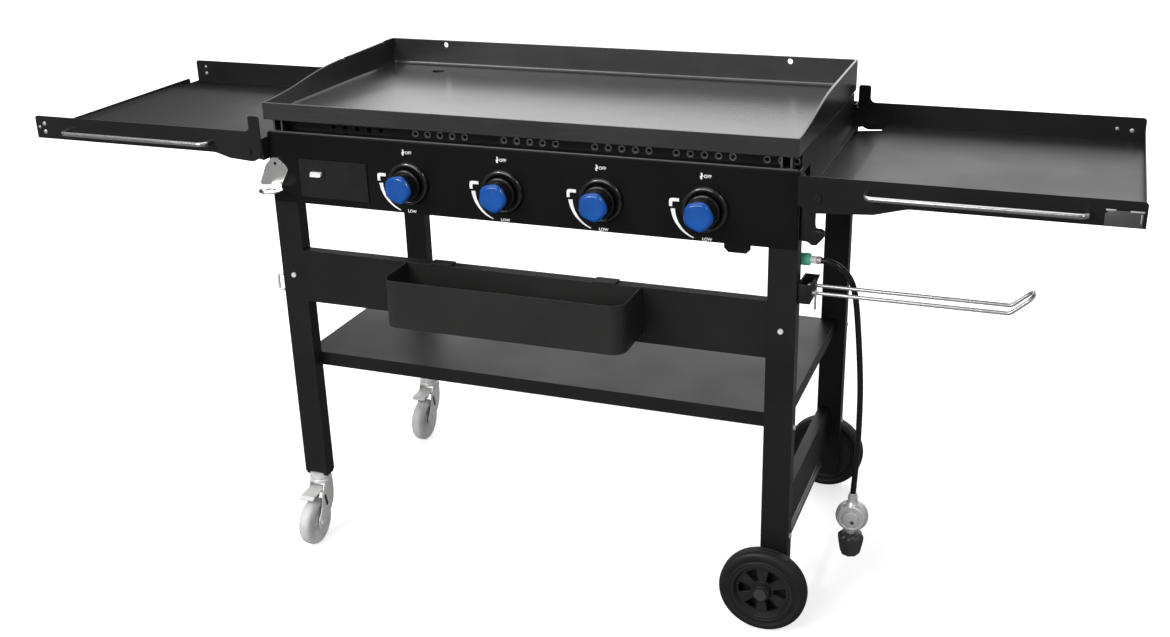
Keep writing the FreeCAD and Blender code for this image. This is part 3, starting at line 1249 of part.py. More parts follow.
def check_and_write():
    """Stop on any failed object, then write each piece to its own file."""
    doc.recompute()
    failed = [item.Name for item in doc.Objects if {"Invalid", "Error"} & set(item.State)]
    if failed:
        raise RuntimeError("failed objects: %s" % failed)
    os.makedirs("parts", exist_ok=True)
    for item in nodes:
        if item.Shape.isNull() or not item.Shape.isValid():
            raise RuntimeError("bad shape: " + item.Label)
        item.Shape.exportStep("parts/%s.step" % item.Label)
    print("%d pieces written" % len(nodes))


build()
check_and_write()
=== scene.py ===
"""Looks of the outdoor gas griddle station, in metres, in the frame of its CAD model."""

import json
import math

import bmesh
import bpy
from mathutils import Matrix, Vector

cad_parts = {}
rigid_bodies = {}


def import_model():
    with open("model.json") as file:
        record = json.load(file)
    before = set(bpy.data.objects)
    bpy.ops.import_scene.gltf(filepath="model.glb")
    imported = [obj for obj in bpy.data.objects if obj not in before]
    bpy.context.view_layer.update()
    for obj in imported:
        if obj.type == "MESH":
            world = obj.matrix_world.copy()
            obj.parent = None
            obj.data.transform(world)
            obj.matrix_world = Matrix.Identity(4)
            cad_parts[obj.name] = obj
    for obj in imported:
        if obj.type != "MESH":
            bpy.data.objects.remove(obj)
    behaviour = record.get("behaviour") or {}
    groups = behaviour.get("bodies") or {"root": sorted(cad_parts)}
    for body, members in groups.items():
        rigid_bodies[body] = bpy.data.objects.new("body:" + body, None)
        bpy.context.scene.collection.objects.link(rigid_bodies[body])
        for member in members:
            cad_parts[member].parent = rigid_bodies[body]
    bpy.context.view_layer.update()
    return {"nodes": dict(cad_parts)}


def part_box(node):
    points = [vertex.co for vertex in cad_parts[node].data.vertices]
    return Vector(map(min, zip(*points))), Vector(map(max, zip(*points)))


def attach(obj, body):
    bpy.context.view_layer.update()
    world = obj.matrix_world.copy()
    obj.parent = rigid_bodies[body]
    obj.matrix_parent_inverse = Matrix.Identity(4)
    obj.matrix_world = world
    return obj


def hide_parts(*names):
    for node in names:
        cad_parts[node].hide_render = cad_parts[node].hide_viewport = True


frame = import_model()
NODES = frame["nodes"]

LEG_FRONT = -0.21965
TO_COOK = Matrix.Rotation(math.radians(90), 4, "X")
TO_REAR = Matrix.Rotation(math.radians(-90), 4, "X")
TO_RIGHT = Matrix.Rotation(math.radians(90), 4, "Y")
TO_LEFT = Matrix.Rotation(math.radians(-90), 4, "Y")
DOWN = Matrix.Rotation(math.radians(180), 4, "X")


# Node groups

def new_group(name, inputs, outputs):
    """An empty shader node group with named sockets."""
    group = bpy.data.node_groups.new(name, "ShaderNodeTree")
    for socket, value in inputs:
        made = group.interface.new_socket(socket, in_out="INPUT", socket_type="NodeSocketFloat")
        made.default_value = value
    for socket, kind in outputs:
        group.interface.new_socket(socket, in_out="OUTPUT", socket_type="NodeSocket" + kind)
    start = group.nodes.new("NodeGroupInput")
    end = group.nodes.new("NodeGroupOutput")
    return group, start.outputs, end.inputs


def add(tree, kind, **settings):
    """A new shader node with its settings and plain input values."""
    item = tree.nodes.new("ShaderNode" + kind)
    for key, value in settings.items():
        if hasattr(item, key):
            setattr(item, key, value)
        else:
            item.inputs[key.replace("_", " ")].default_value = value
    return item


def join(tree, source, target):
    """Link one socket to another."""
    tree.links.new(source, target)


def math_node(tree, operation, first, second):
    """A math node on two sockets or numbers; gives its output."""
    item = add(tree, "Math", operation=operation)
    for slot, value in zip(item.inputs, (first, second)):
        if isinstance(value, (int, float)):
            slot.default_value = value
        else:
            join(tree, value, slot)
    return item.outputs[0]


def mapped(tree, value, low, high, to_low, to_high):
    """Map a value from one range to another, held at the ends."""
    item = add(tree, "MapRange", clamp=True)
    join(tree, value, item.inputs["Value"])
    for slot, number in zip(item.inputs[1:5], (low, high, to_low, to_high)):
        slot.default_value = number
    return item.outputs[0]


def make_coat_group():
    """Powder coat: orange peel, a fine grain and slow changes of gloss."""
    group, given, out = new_group(
        "powder_coat", [("Peel", 260.0), ("Depth", 0.35)],
        [("Height", "Float"), ("Gloss", "Float"), ("Tone", "Float")])
    place = add(group, "TexCoord").outputs["Object"]
    peel = add(group, "TexNoise", Detail=2.0, Roughness=0.45)
    grain = add(group, "TexNoise", Scale=1900.0, Detail=1.0)
    slow = add(group, "TexNoise", Scale=5.5, Detail=3.0, Roughness=0.55)
    join(group, given["Peel"], peel.inputs["Scale"])
    for item in (peel, grain, slow):
        join(group, place, item.inputs["Vector"])
    fine = math_node(group, "MULTIPLY", grain.outputs["Fac"], 0.25)
    both = math_node(group, "ADD", peel.outputs["Fac"], fine)
    join(group, math_node(group, "MULTIPLY", both, given["Depth"]), out["Height"])
    join(group, mapped(group, slow.outputs["Fac"], 0.3, 0.7, -0.05, 0.06), out["Gloss"])
    join(group, mapped(group, slow.outputs["Fac"], 0.3, 0.7, 0.85, 1.2), out["Tone"])
    return group


def make_brush_group():
    """Drawn or rolled metal: long scratches along X, with cloudy patches."""
    group, given, out = new_group(
        "drawn_metal", [("Fine", 900.0), ("Along X", 0.03), ("Along Y", 1.0), ("Along Z", 1.0)],
        [("Height", "Float"), ("Streak", "Float"), ("Cloud", "Float")])
    place = add(group, "TexCoord").outputs["Object"]
    stretch = add(group, "CombineXYZ")
    for axis in "XYZ":
        join(group, given["Along " + axis], stretch.inputs[axis])
    pulled = add(group, "VectorMath", operation="MULTIPLY")
    join(group, place, pulled.inputs[0])
    join(group, stretch.outputs[0], pulled.inputs[1])
    scratch = add(group, "TexNoise", Detail=3.0, Roughness=0.6)
    join(group, given["Fine"], scratch.inputs["Scale"])
    join(group, pulled.outputs[0], scratch.inputs["Vector"])
    cloud = add(group, "TexNoise", Scale=7.0, Detail=4.0, Roughness=0.6)
    join(group, place, cloud.inputs["Vector"])
    join(group, scratch.outputs["Fac"], out["Height"])
    join(group, mapped(group, scratch.outputs["Fac"], 0.3, 0.7, 0.0, 1.0), out["Streak"])
    join(group, mapped(group, cloud.outputs["Fac"], 0.3, 0.7, 0.0, 1.0), out["Cloud"])
    return group


def make_plastic_group():
    """Moulded plastic or rubber: a fine spark-eroded grain and faint flow marks."""
    group, given, out = new_group(
        "moulded_skin", [("Grain", 1400.0), ("Depth", 0.3)],
        [("Height", "Float"), ("Gloss", "Float"), ("Tone", "Float")])
    place = add(group, "TexCoord").outputs["Object"]
    grain = add(group, "TexNoise", Detail=2.0, Roughness=0.5)
    join(group, given["Grain"], grain.inputs["Scale"])
    flow = add(group, "TexNoise", Scale=24.0, Detail=3.0, Roughness=0.5)
    for item in (grain, flow):
        join(group, place, item.inputs["Vector"])
    join(group, math_node(group, "MULTIPLY", grain.outputs["Fac"], given["Depth"]), out["Height"])
    join(group, mapped(group, flow.outputs["Fac"], 0.35, 0.65, -0.04, 0.05), out["Gloss"])
    join(group, mapped(group, flow.outputs["Fac"], 0.35, 0.65, 0.9, 1.15), out["Tone"])
    return group


COAT = make_coat_group()
BRUSH = make_brush_group()
SKIN = make_plastic_group()

# Sockets of a Mix node that mixes colours.
FIRST, SECOND, MIXED = 6, 7, 2

PEEL_BUMP, SKIN_BUMP = 0.00035, 0.00012
METAL_EDGE, PLATE_EDGE = 0.0005, 0.0012


# Materials

def start_material(name, group, values):
    """A material with its shader and one effect group."""
    material = bpy.data.materials.new(name)
    material.use_nodes = True
    tree = material.node_tree
    shader = tree.nodes["Principled BSDF"]
    effect = tree.nodes.new("ShaderNodeGroup")
    effect.node_tree = group
    for key, value in values.items():
        effect.inputs[key].default_value = value
    return material, tree, shader, effect.outputs


def toned(tree, shader, colour, tone):
    """Base colour times a tone that changes over the surface."""
    paint = add(tree, "Mix", data_type="RGBA", blend_type="MULTIPLY")
    paint.inputs["Factor"].default_value = 1.0
    paint.inputs[FIRST].default_value = (*colour, 1.0)
    join(tree, tone, paint.inputs[SECOND])
    join(tree, paint.outputs[MIXED], shader.inputs["Base Color"])


def bumped(tree, shader, height, distance, strength, edge=0.0):
    """A bump on the shader, over an edge softened by a small radius."""
    bump = add(tree, "Bump", Strength=strength, Distance=distance)
    join(tree, height, bump.inputs["Height"])
    if edge:
        soft = add(tree, "Bevel", samples=4, Radius=edge)
        join(tree, soft.outputs[0], bump.inputs["Normal"])
    join(tree, bump.outputs[0], shader.inputs["Normal"])


def coated(name, colour, rough, peel=260.0, depth=0.35, specular=0.5, edge=0.0008):
    """Powder-coated sheet or tube."""
    material, tree, shader, effect = start_material(name, COAT, {"Peel": peel, "Depth": depth})
    toned(tree, shader, colour, effect["Tone"])
    join(tree, math_node(tree, "ADD", effect["Gloss"], rough), shader.inputs["Roughness"])
    shader.inputs["Specular IOR Level"].default_value = specular
    bumped(tree, shader, effect["Height"], PEEL_BUMP, 0.5, edge)
    return material


def metal(name, colour, dark, rough, streaks=(900.0, 0.03, 1.0, 1.0), depth=0.00006,
          metallic=1.0):
    """Bare or plated metal, darker in cloudy patches and along its scratches."""
    fine, along_x, along_y, along_z = streaks
    material, tree, shader, effect = start_material(
        name, BRUSH, {"Fine": fine, "Along X": along_x, "Along Y": along_y, "Along Z": along_z})
    paint = add(tree, "Mix", data_type="RGBA")
    worn = math_node(tree, "MULTIPLY", effect["Cloud"], effect["Streak"])
    join(tree, worn, paint.inputs["Factor"])
    paint.inputs[FIRST].default_value = (*colour, 1.0)
    paint.inputs[SECOND].default_value = (*dark, 1.0)
    join(tree, paint.outputs[MIXED], shader.inputs["Base Color"])
    change = mapped(tree, effect["Cloud"], 0.0, 1.0, rough - 0.04, rough + 0.08)
    join(tree, change, shader.inputs["Roughness"])
    shader.inputs["Metallic"].default_value = metallic
    bumped(tree, shader, effect["Height"], depth, 0.6, METAL_EDGE)
    return material


def moulded(name, colour, rough, grain=1400.0, depth=0.3, coat=0.0, specular=0.5, edge=0.0):
    """Moulded plastic or rubber."""
    material, tree, shader, effect = start_material(name, SKIN, {"Grain": grain, "Depth": depth})
    toned(tree, shader, colour, effect["Tone"])
    join(tree, math_node(tree, "ADD", effect["Gloss"], rough), shader.inputs["Roughness"])
    shader.inputs["Coat Weight"].default_value = coat
    shader.inputs["Coat Roughness"].default_value = 0.08
    shader.inputs["Specular IOR Level"].default_value = specular
    bumped(tree, shader, effect["Height"], SKIN_BUMP, 0.5, edge)
    return material


def seasoned_plate():
    """Rolled steel with a baked oil film in blotches."""
    material, tree, shader, effect = start_material(
        "seasoned_plate", BRUSH, {"Fine": 420.0, "Along X": 0.05, "Along Y": 1.0, "Along Z": 1.0})
    place = add(tree, "TexCoord").outputs["Object"]
    blotch = add(tree, "TexNoise", Scale=3.2, Detail=5.0, Roughness=0.62, Distortion=0.4)
    join(tree, place, blotch.inputs["Vector"])
    film = mapped(tree, blotch.outputs["Fac"], 0.32, 0.68, 0.0, 1.0)
    paint = add(tree, "Mix", data_type="RGBA")
    join(tree, film, paint.inputs["Factor"])
    paint.inputs[FIRST].default_value = (0.030, 0.030, 0.031, 1.0)
    paint.inputs[SECOND].default_value = (0.043, 0.043, 0.042, 1.0)
    scratched = add(tree, "Mix", data_type="RGBA", blend_type="MULTIPLY")
    scratched.inputs["Factor"].default_value = 1.0
    join(tree, paint.outputs[MIXED], scratched.inputs[FIRST])
    join(tree, mapped(tree, effect["Streak"], 0.0, 1.0, 0.86, 1.08), scratched.inputs[SECOND])
    join(tree, scratched.outputs[MIXED], shader.inputs["Base Color"])
    join(tree, mapped(tree, film, 0.0, 1.0, 0.22, 0.28), shader.inputs["Roughness"])
    shader.inputs["Metallic"].default_value = 0.45
    shader.inputs["Specular IOR Level"].default_value = 0.42
    bumped(tree, shader, effect["Height"], 0.00003, 0.3, PLATE_EDGE)
    return material


def printed(name, colour):
    """Screen-printed ink on the panel."""
    material, tree, shader, effect = start_material(name, SKIN, {"Grain": 2500.0, "Depth": 0.2})
    toned(tree, shader, colour, effect["Tone"])
    join(tree, math_node(tree, "ADD", effect["Gloss"], 0.5), shader.inputs["Roughness"])
    return material


black_coat = coated("black_coat", (0.0088, 0.0088, 0.0090), 0.40, specular=0.17)
shelf_coat = coated("shelf_coat", (0.0085, 0.0085, 0.0088), 0.38, depth=0.12, specular=0.16)
panel_coat = coated("panel_coat", (0.0032, 0.0032, 0.0036), 0.34, peel=340.0, depth=0.2,
                    specular=0.14, edge=0.0025)
bin_coat = coated("bin_coat", (0.0150, 0.0144, 0.0140), 0.44, specular=0.24)
plate_steel = seasoned_plate()
zinc = metal("bright_zinc", (0.62, 0.62, 0.61), (0.50, 0.50, 0.49), 0.34,
             (600.0, 1.0, 1.0, 0.2), metallic=0.3)
# Light grey of the vent rims: painted light standing for the lit inside seen through the vent holes.
painted_vent_light = metal("painted_vent_light", (0.20, 0.20, 0.20), (0.13, 0.13, 0.13), 0.5,
                  (600.0, 1.0, 1.0, 1.0), metallic=0.3)
stainless = metal("polished_stainless", (0.80, 0.80, 0.79), (0.62, 0.62, 0.61), 0.22,
                  (1100.0, 1.0, 1.0, 0.05))
chrome = metal("bright_chrome", (0.44, 0.43, 0.44), (0.34, 0.33, 0.34), 0.26,
               (300.0, 0.3, 1.0, 1.0), depth=0.00001, metallic=0.8)
rod_steel = metal("rod_steel", (0.46, 0.46, 0.46), (0.34, 0.34, 0.34), 0.20,
                  (300.0, 0.3, 1.0, 1.0), depth=0.00001)
# Light metal of the rivets, also the painted highlights on the corner plate.
dull_bright = metal("dull_bright", (0.42, 0.42, 0.42), (0.30, 0.30, 0.30), 0.42,
                    (600.0, 1.0, 1.0, 0.2), metallic=0.6)
# Dark grey: the corner plate's own colour, a painted highlight on the panel lip and painted shade in
# the regulator's vent.
plate_grey = metal("plate_grey", (0.060, 0.060, 0.060), (0.040, 0.040, 0.040), 0.42,
                   (600.0, 1.0, 1.0, 0.2), metallic=0.3)
dull_steel = metal("dull_steel", (0.16, 0.16, 0.16), (0.09, 0.09, 0.09), 0.42,
                   (600.0, 1.0, 1.0, 0.2))
burner_steel = metal("burner_steel", (0.42, 0.41, 0.39), (0.20, 0.17, 0.14), 0.36,
                     (500.0, 1.0, 0.05, 1.0))
brass = metal("machined_brass", (0.72, 0.55, 0.27), (0.50, 0.37, 0.18), 0.28,
              (900.0, 1.0, 1.0, 1.0))
cast_zinc = metal("cast_zinc", (0.56, 0.555, 0.56), (0.42, 0.42, 0.43), 0.38,
                  (260.0, 1.0, 1.0, 1.0), depth=0.0002, metallic=0.55)
ferrule_steel = metal("ferrule_steel", (0.62, 0.53, 0.55), (0.46, 0.38, 0.41), 0.30,
                      (900.0, 0.1, 1.0, 1.0), metallic=0.5)
black_plastic = moulded("black_plastic", (0.0065, 0.0065, 0.0065), 0.42, specular=0.25,
                        edge=0.0005)
gloss_black = moulded("gloss_black", (0.004, 0.004, 0.004), 0.20, depth=0.08, coat=0.3,
                      specular=0.4)
blue_cap = moulded("blue_cap", (0.003, 0.056, 0.250), 0.15, depth=0.05, coat=0.2,
                   specular=0.3)
knob_black = moulded("knob_black", (0.006, 0.006, 0.008), 0.24, depth=0.08, coat=0.1,
                     specular=0.3)
pale_cap = moulded("pale_cap", (0.52, 0.53, 0.54), 0.30, depth=0.06, coat=0.2)
band_white = moulded("band_white", (0.84, 0.84, 0.82), 0.40, depth=0.06)
nut_plastic = moulded("nut_plastic", (0.020, 0.018, 0.021), 0.40, depth=0.2)
# Near black for painted shade: the marks in the fork cheeks and the discs behind the wheel rims.
shadow_steel = moulded("shadow_steel", (0.012, 0.012, 0.012), 0.6, depth=0.2)
tyre_black = moulded("tyre_black", (0.0090, 0.0090, 0.0090), 0.50, grain=900.0, depth=0.6,
                     specular=0.24)
rim_black = moulded("rim_black", (0.011, 0.011, 0.011), 0.38, specular=0.35, edge=0.0008)
caster_grey = moulded("caster_grey", (0.46, 0.46, 0.465), 0.5, grain=900.0, depth=0.4)
hose_black = moulded("hose_black", (0.005, 0.005, 0.005), 0.30, grain=1600.0, depth=0.2,
                     specular=0.3)
band_green = moulded("band_green", (0.120, 0.600, 0.430), 0.30, depth=0.1, coat=0.2)
white_ink = printed("white_ink", (0.68, 0.68, 0.69))

FINISH = {
    "griddle_pan": plate_steel, "pan_feet": dull_steel, "burner_box": black_coat,
    "control_panel": panel_coat, "knob_bezels": gloss_black, "burner_valves": brass,
    "gas_manifold": black_coat, "burner_tubes": burner_steel, "burner_rail": black_coat,
    "igniter_housing": black_plastic, "igniter_button": gloss_black,
    "side_shelf_left": shelf_coat, "side_shelf_right": shelf_coat,
    "hinge_brackets_left": black_coat, "hinge_brackets_right": black_coat,
    "towel_rod_left": rod_steel, "towel_rod_right": rod_steel, "hinge_pins": black_plastic,
    "front_rail": black_coat, "lower_shelf": shelf_coat, "side_rail": black_coat,
    "tool_bin": bin_coat, "towel_holder": chrome, "holder_bracket": black_coat,
    "bottle_opener": stainless, "side_hooks": zinc, "tyre_front": tyre_black,
    "tyre_rear": tyre_black, "rim_front": rim_black, "rim_rear": rim_black,
    "wheel_axle": dull_steel, "caster_stems": zinc, "caster_fork_front": zinc,
    "caster_fork_rear": zinc, "caster_wheel_front": caster_grey,
    "caster_wheel_rear": caster_grey, "caster_pedal_front": zinc, "caster_pedal_rear": zinc,
    "caster_pins_front": zinc, "caster_pins_rear": zinc, "hose_fitting": cast_zinc,
    "hose_ferrule": ferrule_steel, "gas_regulator": cast_zinc, "hand_nut": black_plastic,
    "grease_cup": burner_steel, "cup_runners": black_coat, "frame_bolts": zinc,
}
for number in "1234":
    FINISH["valve_stem_" + number] = brass
    FINISH["knob_" + number] = blue_cap
for leg in ("front_left", "rear_left", "front_right", "rear_right"):
    FINISH["leg_" + leg] = black_coat
for name, material in FINISH.items():
    NODES[name].data.materials.clear()
    NODES[name].data.materials.append(material)


# Camera and studio

EYE = (0.8789, -2.1780, 1.3813)
LOOK = (-0.33663, 0.86305, -0.37659)
EYE_ROLL = 0.0272
LENS, SENSOR = 41.57, 36.0


def make_camera():
    """The photograph's viewpoint, found from the stand's corners."""
    look = Vector(LOOK).normalized()
    right = look.cross(Vector((0, 0, 1))).normalized()
    right.rotate(Matrix.Rotation(EYE_ROLL, 3, look))
    up = right.cross(look)
    eye = bpy.data.objects.new("eye", bpy.data.cameras.new("eye"))
    eye.data.lens = LENS
    eye.data.sensor_width = SENSOR
    turn = Matrix((right, up, -look)).transposed()
    eye.matrix_world = Matrix.Translation(EYE) @ turn.to_4x4()
    bpy.context.scene.collection.objects.link(eye)
    bpy.context.scene.camera = eye


def soft_box(name, width, height, place, aim, power):
    """A large soft lamp that the camera doesn't see."""
    lamp = bpy.data.lights.new(name, "AREA")
    lamp.shape, lamp.size, lamp.size_y, lamp.energy = "RECTANGLE", width, height, power
    item = bpy.data.objects.new(name, lamp)
    item.location = place
    item.rotation_mode = "QUATERNION"
    item.rotation_quaternion = (Vector(aim) - Vector(place)).to_track_quat("-Z", "Y")
    item.visible_camera = False
    bpy.context.scene.collection.objects.link(item)


def make_world():
    """White to the camera, and a grey light that grows towards the rear."""
    world = bpy.data.worlds.new("studio")
    bpy.context.scene.world = world
    world.use_nodes = True
    tree = world.node_tree
    sky = tree.nodes["Background"]
    direction = add(tree, "TexCoord").outputs["Generated"]
    parts = add(tree, "SeparateXYZ")
    join(tree, direction, parts.inputs[0])
    level = mapped(tree, parts.outputs["Y"], -0.5, 0.6, 0.36, 0.66)
    shown = math_node(tree, "MAXIMUM", level, add(tree, "LightPath").outputs["Is Camera Ray"])
    join(tree, shown, sky.inputs["Color"])


def make_floor():
    """Pale floor that turns white far away, and mirrors darker than it looks."""
    floor_material = bpy.data.materials.new("pale_floor")
    floor_material.use_nodes = True
    tree = floor_material.node_tree
    shader = tree.nodes["Principled BSDF"]
    mirrored = math_node(tree, "MULTIPLY", add(tree, "LightPath").outputs["Is Glossy Ray"], 0.42)
    join(tree, math_node(tree, "SUBTRACT", 0.62, mirrored), shader.inputs["Base Color"])
    shader.inputs["Roughness"].default_value = 0.9
    shader.inputs["Specular IOR Level"].default_value = 0.1
    shader.inputs["Emission Color"].default_value = (1.0, 1.0, 1.0, 1.0)
    far = add(tree, "VectorMath", operation="LENGTH")
    join(tree, add(tree, "TexCoord").outputs["Object"], far.inputs[0])
    fade = mapped(tree, far.outputs["Value"], 0.9, 2.0, 0.58, 1.0)
    seen = math_node(tree, "MULTIPLY", fade, add(tree, "LightPath").outputs["Is Camera Ray"])
    join(tree, seen, shader.inputs["Emission Strength"])
    bm = bmesh.new()
    bmesh.ops.create_grid(bm, x_segments=1, y_segments=1, size=30.0)
    floor = make_piece("studio_floor", bm, floor_material)


def make_lamps():
    """Soft lamps behind, above and before the object, and two small ones for glints."""
    soft_box("back_panel", 6.0, 2.6, (0.0, 4.2, 2.1), (0.0, 0.0, 0.5), 78)
    soft_box("ceiling", 4.5, 3.5, (-0.3, 0.2, 3.6), (0.0, 0.0, 0.4), 84)
    soft_box("front_fill", 3.2, 2.4, (-1.2, -3.9, 2.7), (0.0, 0.0, 0.5), 150)
    soft_box("left_glint", 0.38, 0.38, (-1.7, -2.6, 2.7), (0.0, 0.0, 0.7), 36)
    soft_box("right_glint", 0.4, 0.5, (2.6, -1.9, 2.5), (0.2, 0.0, 0.6), 15)


# Helpers for pieces

def make_piece(name, bm, *materials, smooth=None):
    """Turn a bmesh into an object at the origin. smooth is an angle in degrees."""
    mesh = bpy.data.meshes.new(name)
    bm.to_mesh(mesh)
    bm.free()
    for material in materials:
        mesh.materials.append(material)
    item = bpy.data.objects.new(name, mesh)
    bpy.context.scene.collection.objects.link(item)
    if smooth is not None:
        for face in mesh.polygons:
            face.use_smooth = True
        mesh.set_sharp_from_angle(angle=math.radians(smooth))
    return item


def settle(bm, place=(0.0, 0.0, 0.0), turn=Matrix()):
    """Turn a shape made in millimetres and move it to its place in metres."""
    move = Matrix.Translation(Vector(place)) @ turn.to_4x4() @ Matrix.Scale(0.001, 4)
    bmesh.ops.transform(bm, matrix=move, verts=bm.verts)
    return bm


def spot(x, y, z):
    """Metres from millimetres, with y counted back from the fronts of the legs."""
    return Vector((x / 1000, y / 1000 + LEG_FRONT, z / 1000))


def measured(point):
    """A vertex's place in the millimetres that spot takes."""
    return point.co.x * 1000, (point.co.y - LEG_FRONT) * 1000, point.co.z * 1000


def points_of(items):
    """The vertices among what an operation made."""
    return [item for item in items if isinstance(item, bmesh.types.BMVert)]


def eased(bm, edges, radius, segments):
    """Round edges of a shape."""
    bmesh.ops.bevel(bm, geom=edges, offset=radius, segments=segments, profile=0.5,
                    affect="EDGES", material=-1, clamp_overlap=True)


def node_sheet(name, cuts):
    """A CAD node's sheet in whole faces, cut across behind the fronts of the legs."""
    bm = bmesh.new()
    bm.from_mesh(NODES[name].data)
    bmesh.ops.remove_doubles(bm, verts=bm.verts, dist=1e-5)
    bmesh.ops.dissolve_limit(bm, angle_limit=0.01, verts=bm.verts, edges=bm.edges)
    for y in cuts:
        bmesh.ops.bisect_plane(bm, geom=bm.verts[:] + bm.edges[:] + bm.faces[:], dist=1e-6,
                               plane_co=spot(0, y, 0), plane_no=(0, 1, 0))
    return bm


def lathe(outline, steps=64, ring=False):
    """Turn an outline of (radius, height) about Z; a ring's outline closes on itself."""
    bm = bmesh.new()
    points = [bm.verts.new((radius, 0.0, height)) for radius, height in outline]
    edges = [bm.edges.new(pair) for pair in zip(points, points[1:])]
    if ring:
        edges.append(bm.edges.new((points[-1], points[0])))
    bmesh.ops.spin(bm, geom=points + edges, cent=(0, 0, 0), axis=(0, 0, 1),
                   angle=math.tau, steps=steps, use_merge=True)
    bmesh.ops.remove_doubles(bm, verts=bm.verts, dist=1e-4)
    bmesh.ops.recalc_face_normals(bm, faces=bm.faces)
    return bm


def tower(levels, sides=80, lobes=0, turn=0.0):
    """Rings one over another, (height, radius, depth of lobes), closed at both ends."""
    bm = bmesh.new()
    bmesh.ops.create_circle(bm, segments=sides, radius=1.0)
    ring, edges = set(bm.verts), list(bm.edges)
    for number, (height, radius, depth) in enumerate(levels):
        if number:
            grown = bmesh.ops.extrude_edge_only(bm, edges=edges)["geom"]
            ring = set(points_of(grown))
            edges = [item for item in grown
                     if isinstance(item, bmesh.types.BMEdge) and set(item.verts) <= ring]
        for point in ring:
            angle = math.atan2(point.co.y, point.co.x)
            reach = radius * (1 + depth * math.cos(lobes * (angle - turn)))
            point.co = (reach * math.cos(angle), reach * math.sin(angle), height)
        if number in (0, len(levels) - 1):
            bmesh.ops.contextual_create(bm, geom=edges)
    bmesh.ops.recalc_face_normals(bm, faces=bm.faces)
    return bm


def slab(outline, thickness, edge=0.0, segments=2):
    """A plate of a flat outline in XY, with its edges eased."""
    bm = bmesh.new()
    face = bm.faces.new([bm.verts.new((x, y, 0.0)) for x, y in outline])
    grown = bmesh.ops.extrude_face_region(bm, geom=[face])["geom"]
    bmesh.ops.translate(bm, verts=points_of(grown), vec=(0.0, 0.0, thickness))
    bmesh.ops.recalc_face_normals(bm, faces=bm.faces)
    if edge:
        eased(bm, bm.edges, edge, segments)
    return bm


def block(size, edge=0.0, segments=2):
    """An eased block about the origin."""
    bm = bmesh.new()
    bmesh.ops.create_cube(bm, size=1.0)
    bmesh.ops.scale(bm, vec=size, verts=bm.verts)
    if edge:
        eased(bm, bm.edges, edge, segments)
    return bm


def dyed(bm, number, test=None):
    """Give the faces that pass a test one of the piece's materials."""
    for face in bm.faces:
        if test is None or test(face.calc_center_median()):
            face.material_index = number
    return bm


def gathered(shapes):
    """Several shapes as one."""
    whole = bmesh.new()
    for shape in shapes:
        mesh = bpy.data.meshes.new("part")
        shape.to_mesh(mesh)
        shape.free()
        whole.from_mesh(mesh)
        bpy.data.meshes.remove(mesh)
    return whole


def fitted(name, bm, body, slot, *materials, smooth=30.0, stands_for=()):
    """A finished piece on its body, in place of the CAD nodes it stands for."""
    item = make_piece(name, bm, *materials, smooth=smooth)
    for node in stands_for:
        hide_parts(node)
    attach(item, body)
    return item


make_camera()
make_world()
make_floor()
make_lamps()
bpy.context.scene.view_settings.view_transform = "Standard"


# Hose and its fittings

REGULATOR_X, REGULATOR_Y, REGULATOR_Z = 558, 122.3, 160.3
INLET_Y, INLET_Z = 46, 654
HOSE_RADIUS = 0.005
HOSE_ROUTE = (
    (493, 46, 654), (508, 46, 654), (523.2, 47, 649.2), (536.6, 49.5, 639.1),
    (546.7, 54.1, 623.7), (552.5, 61.3, 601.6), (555, 72.2, 571.6), (557.2, 84, 531.3),
    (560, 95.9, 478.7), (563, 106, 415.6), (563, 114.4, 346), (561.6, 120.2, 274.2),
    (558, 122.3, 205.3))


def make_regulator():
    """Cast body of two discs clamped together, with its vent as a darker disc of painted shade,
    collar and neck.
    """
    x, y, z = REGULATOR_X, REGULATOR_Y, REGULATOR_Z
    disc = lathe([(0, 0.6), (13, 0), (22, 1.2), (25.6, 4.4), (26.4, 11.4), (28, 12.4), (28.2, 15),
                  (27.2, 15.8), (27.2, 17.4), (28.2, 18.2), (28, 21), (26.4, 22), (25.4, 26.6),
                  (22.6, 29.2), (20.4, 29.4), (19.4, 28.4), (15.4, 28.6), (14.4, 31.4),
                  (12.6, 33.2), (8.4, 33.8), (0, 34)], 96, True)
    shapes = [settle(disc, spot(x, y + 17, z), TO_COOK)]
    screw_circle, first_screw = 23.6, 14
    for number in range(6):
        angle = math.radians(60 * number + first_screw)
        screw = tower([(0, 2.6, 0), (1.0, 2.6, 0), (1.6, 2.1, 0)], 12)
        place = spot(x + screw_circle * math.cos(angle), y - 9.2,
                     z + screw_circle * math.sin(angle))
        shapes.append(settle(screw, place, TO_COOK))
    # The vent as a darker grey disc: painted shade for its hole.
    vent = dyed(lathe([(0, 0), (3.6, 0), (3.4, 0.5), (1.4, 0.8), (0, 0.8)], 28, True), 1)
    shapes.append(settle(vent, spot(x + 3.5, y - 16.9, z - 5), TO_COOK))
    collar = lathe([(5.05, 0), (6.2, 0), (6.8, 0.8), (6.8, 4.6), (8.4, 5.6), (8.6, 9.4), (7.6, 10.8),
                    (8.4, 15), (10.6, 19.5), (14, 23.5), (5.05, 24)], 48, True)
    shapes.append(settle(collar, spot(x, y, 205.7), DOWN))
    spout = lathe([(0, 116), (8, 116), (8, 127), (9.4, 130), (10.2, 140), (0, 140)], 48, True)
    shapes.append(settle(spout, spot(x, y, 0)))
    return fitted("regulator_body", gathered(shapes), "stand", "regulator_zinc", cast_zinc,
                  plate_grey, smooth=35, stands_for=["gas_regulator"])


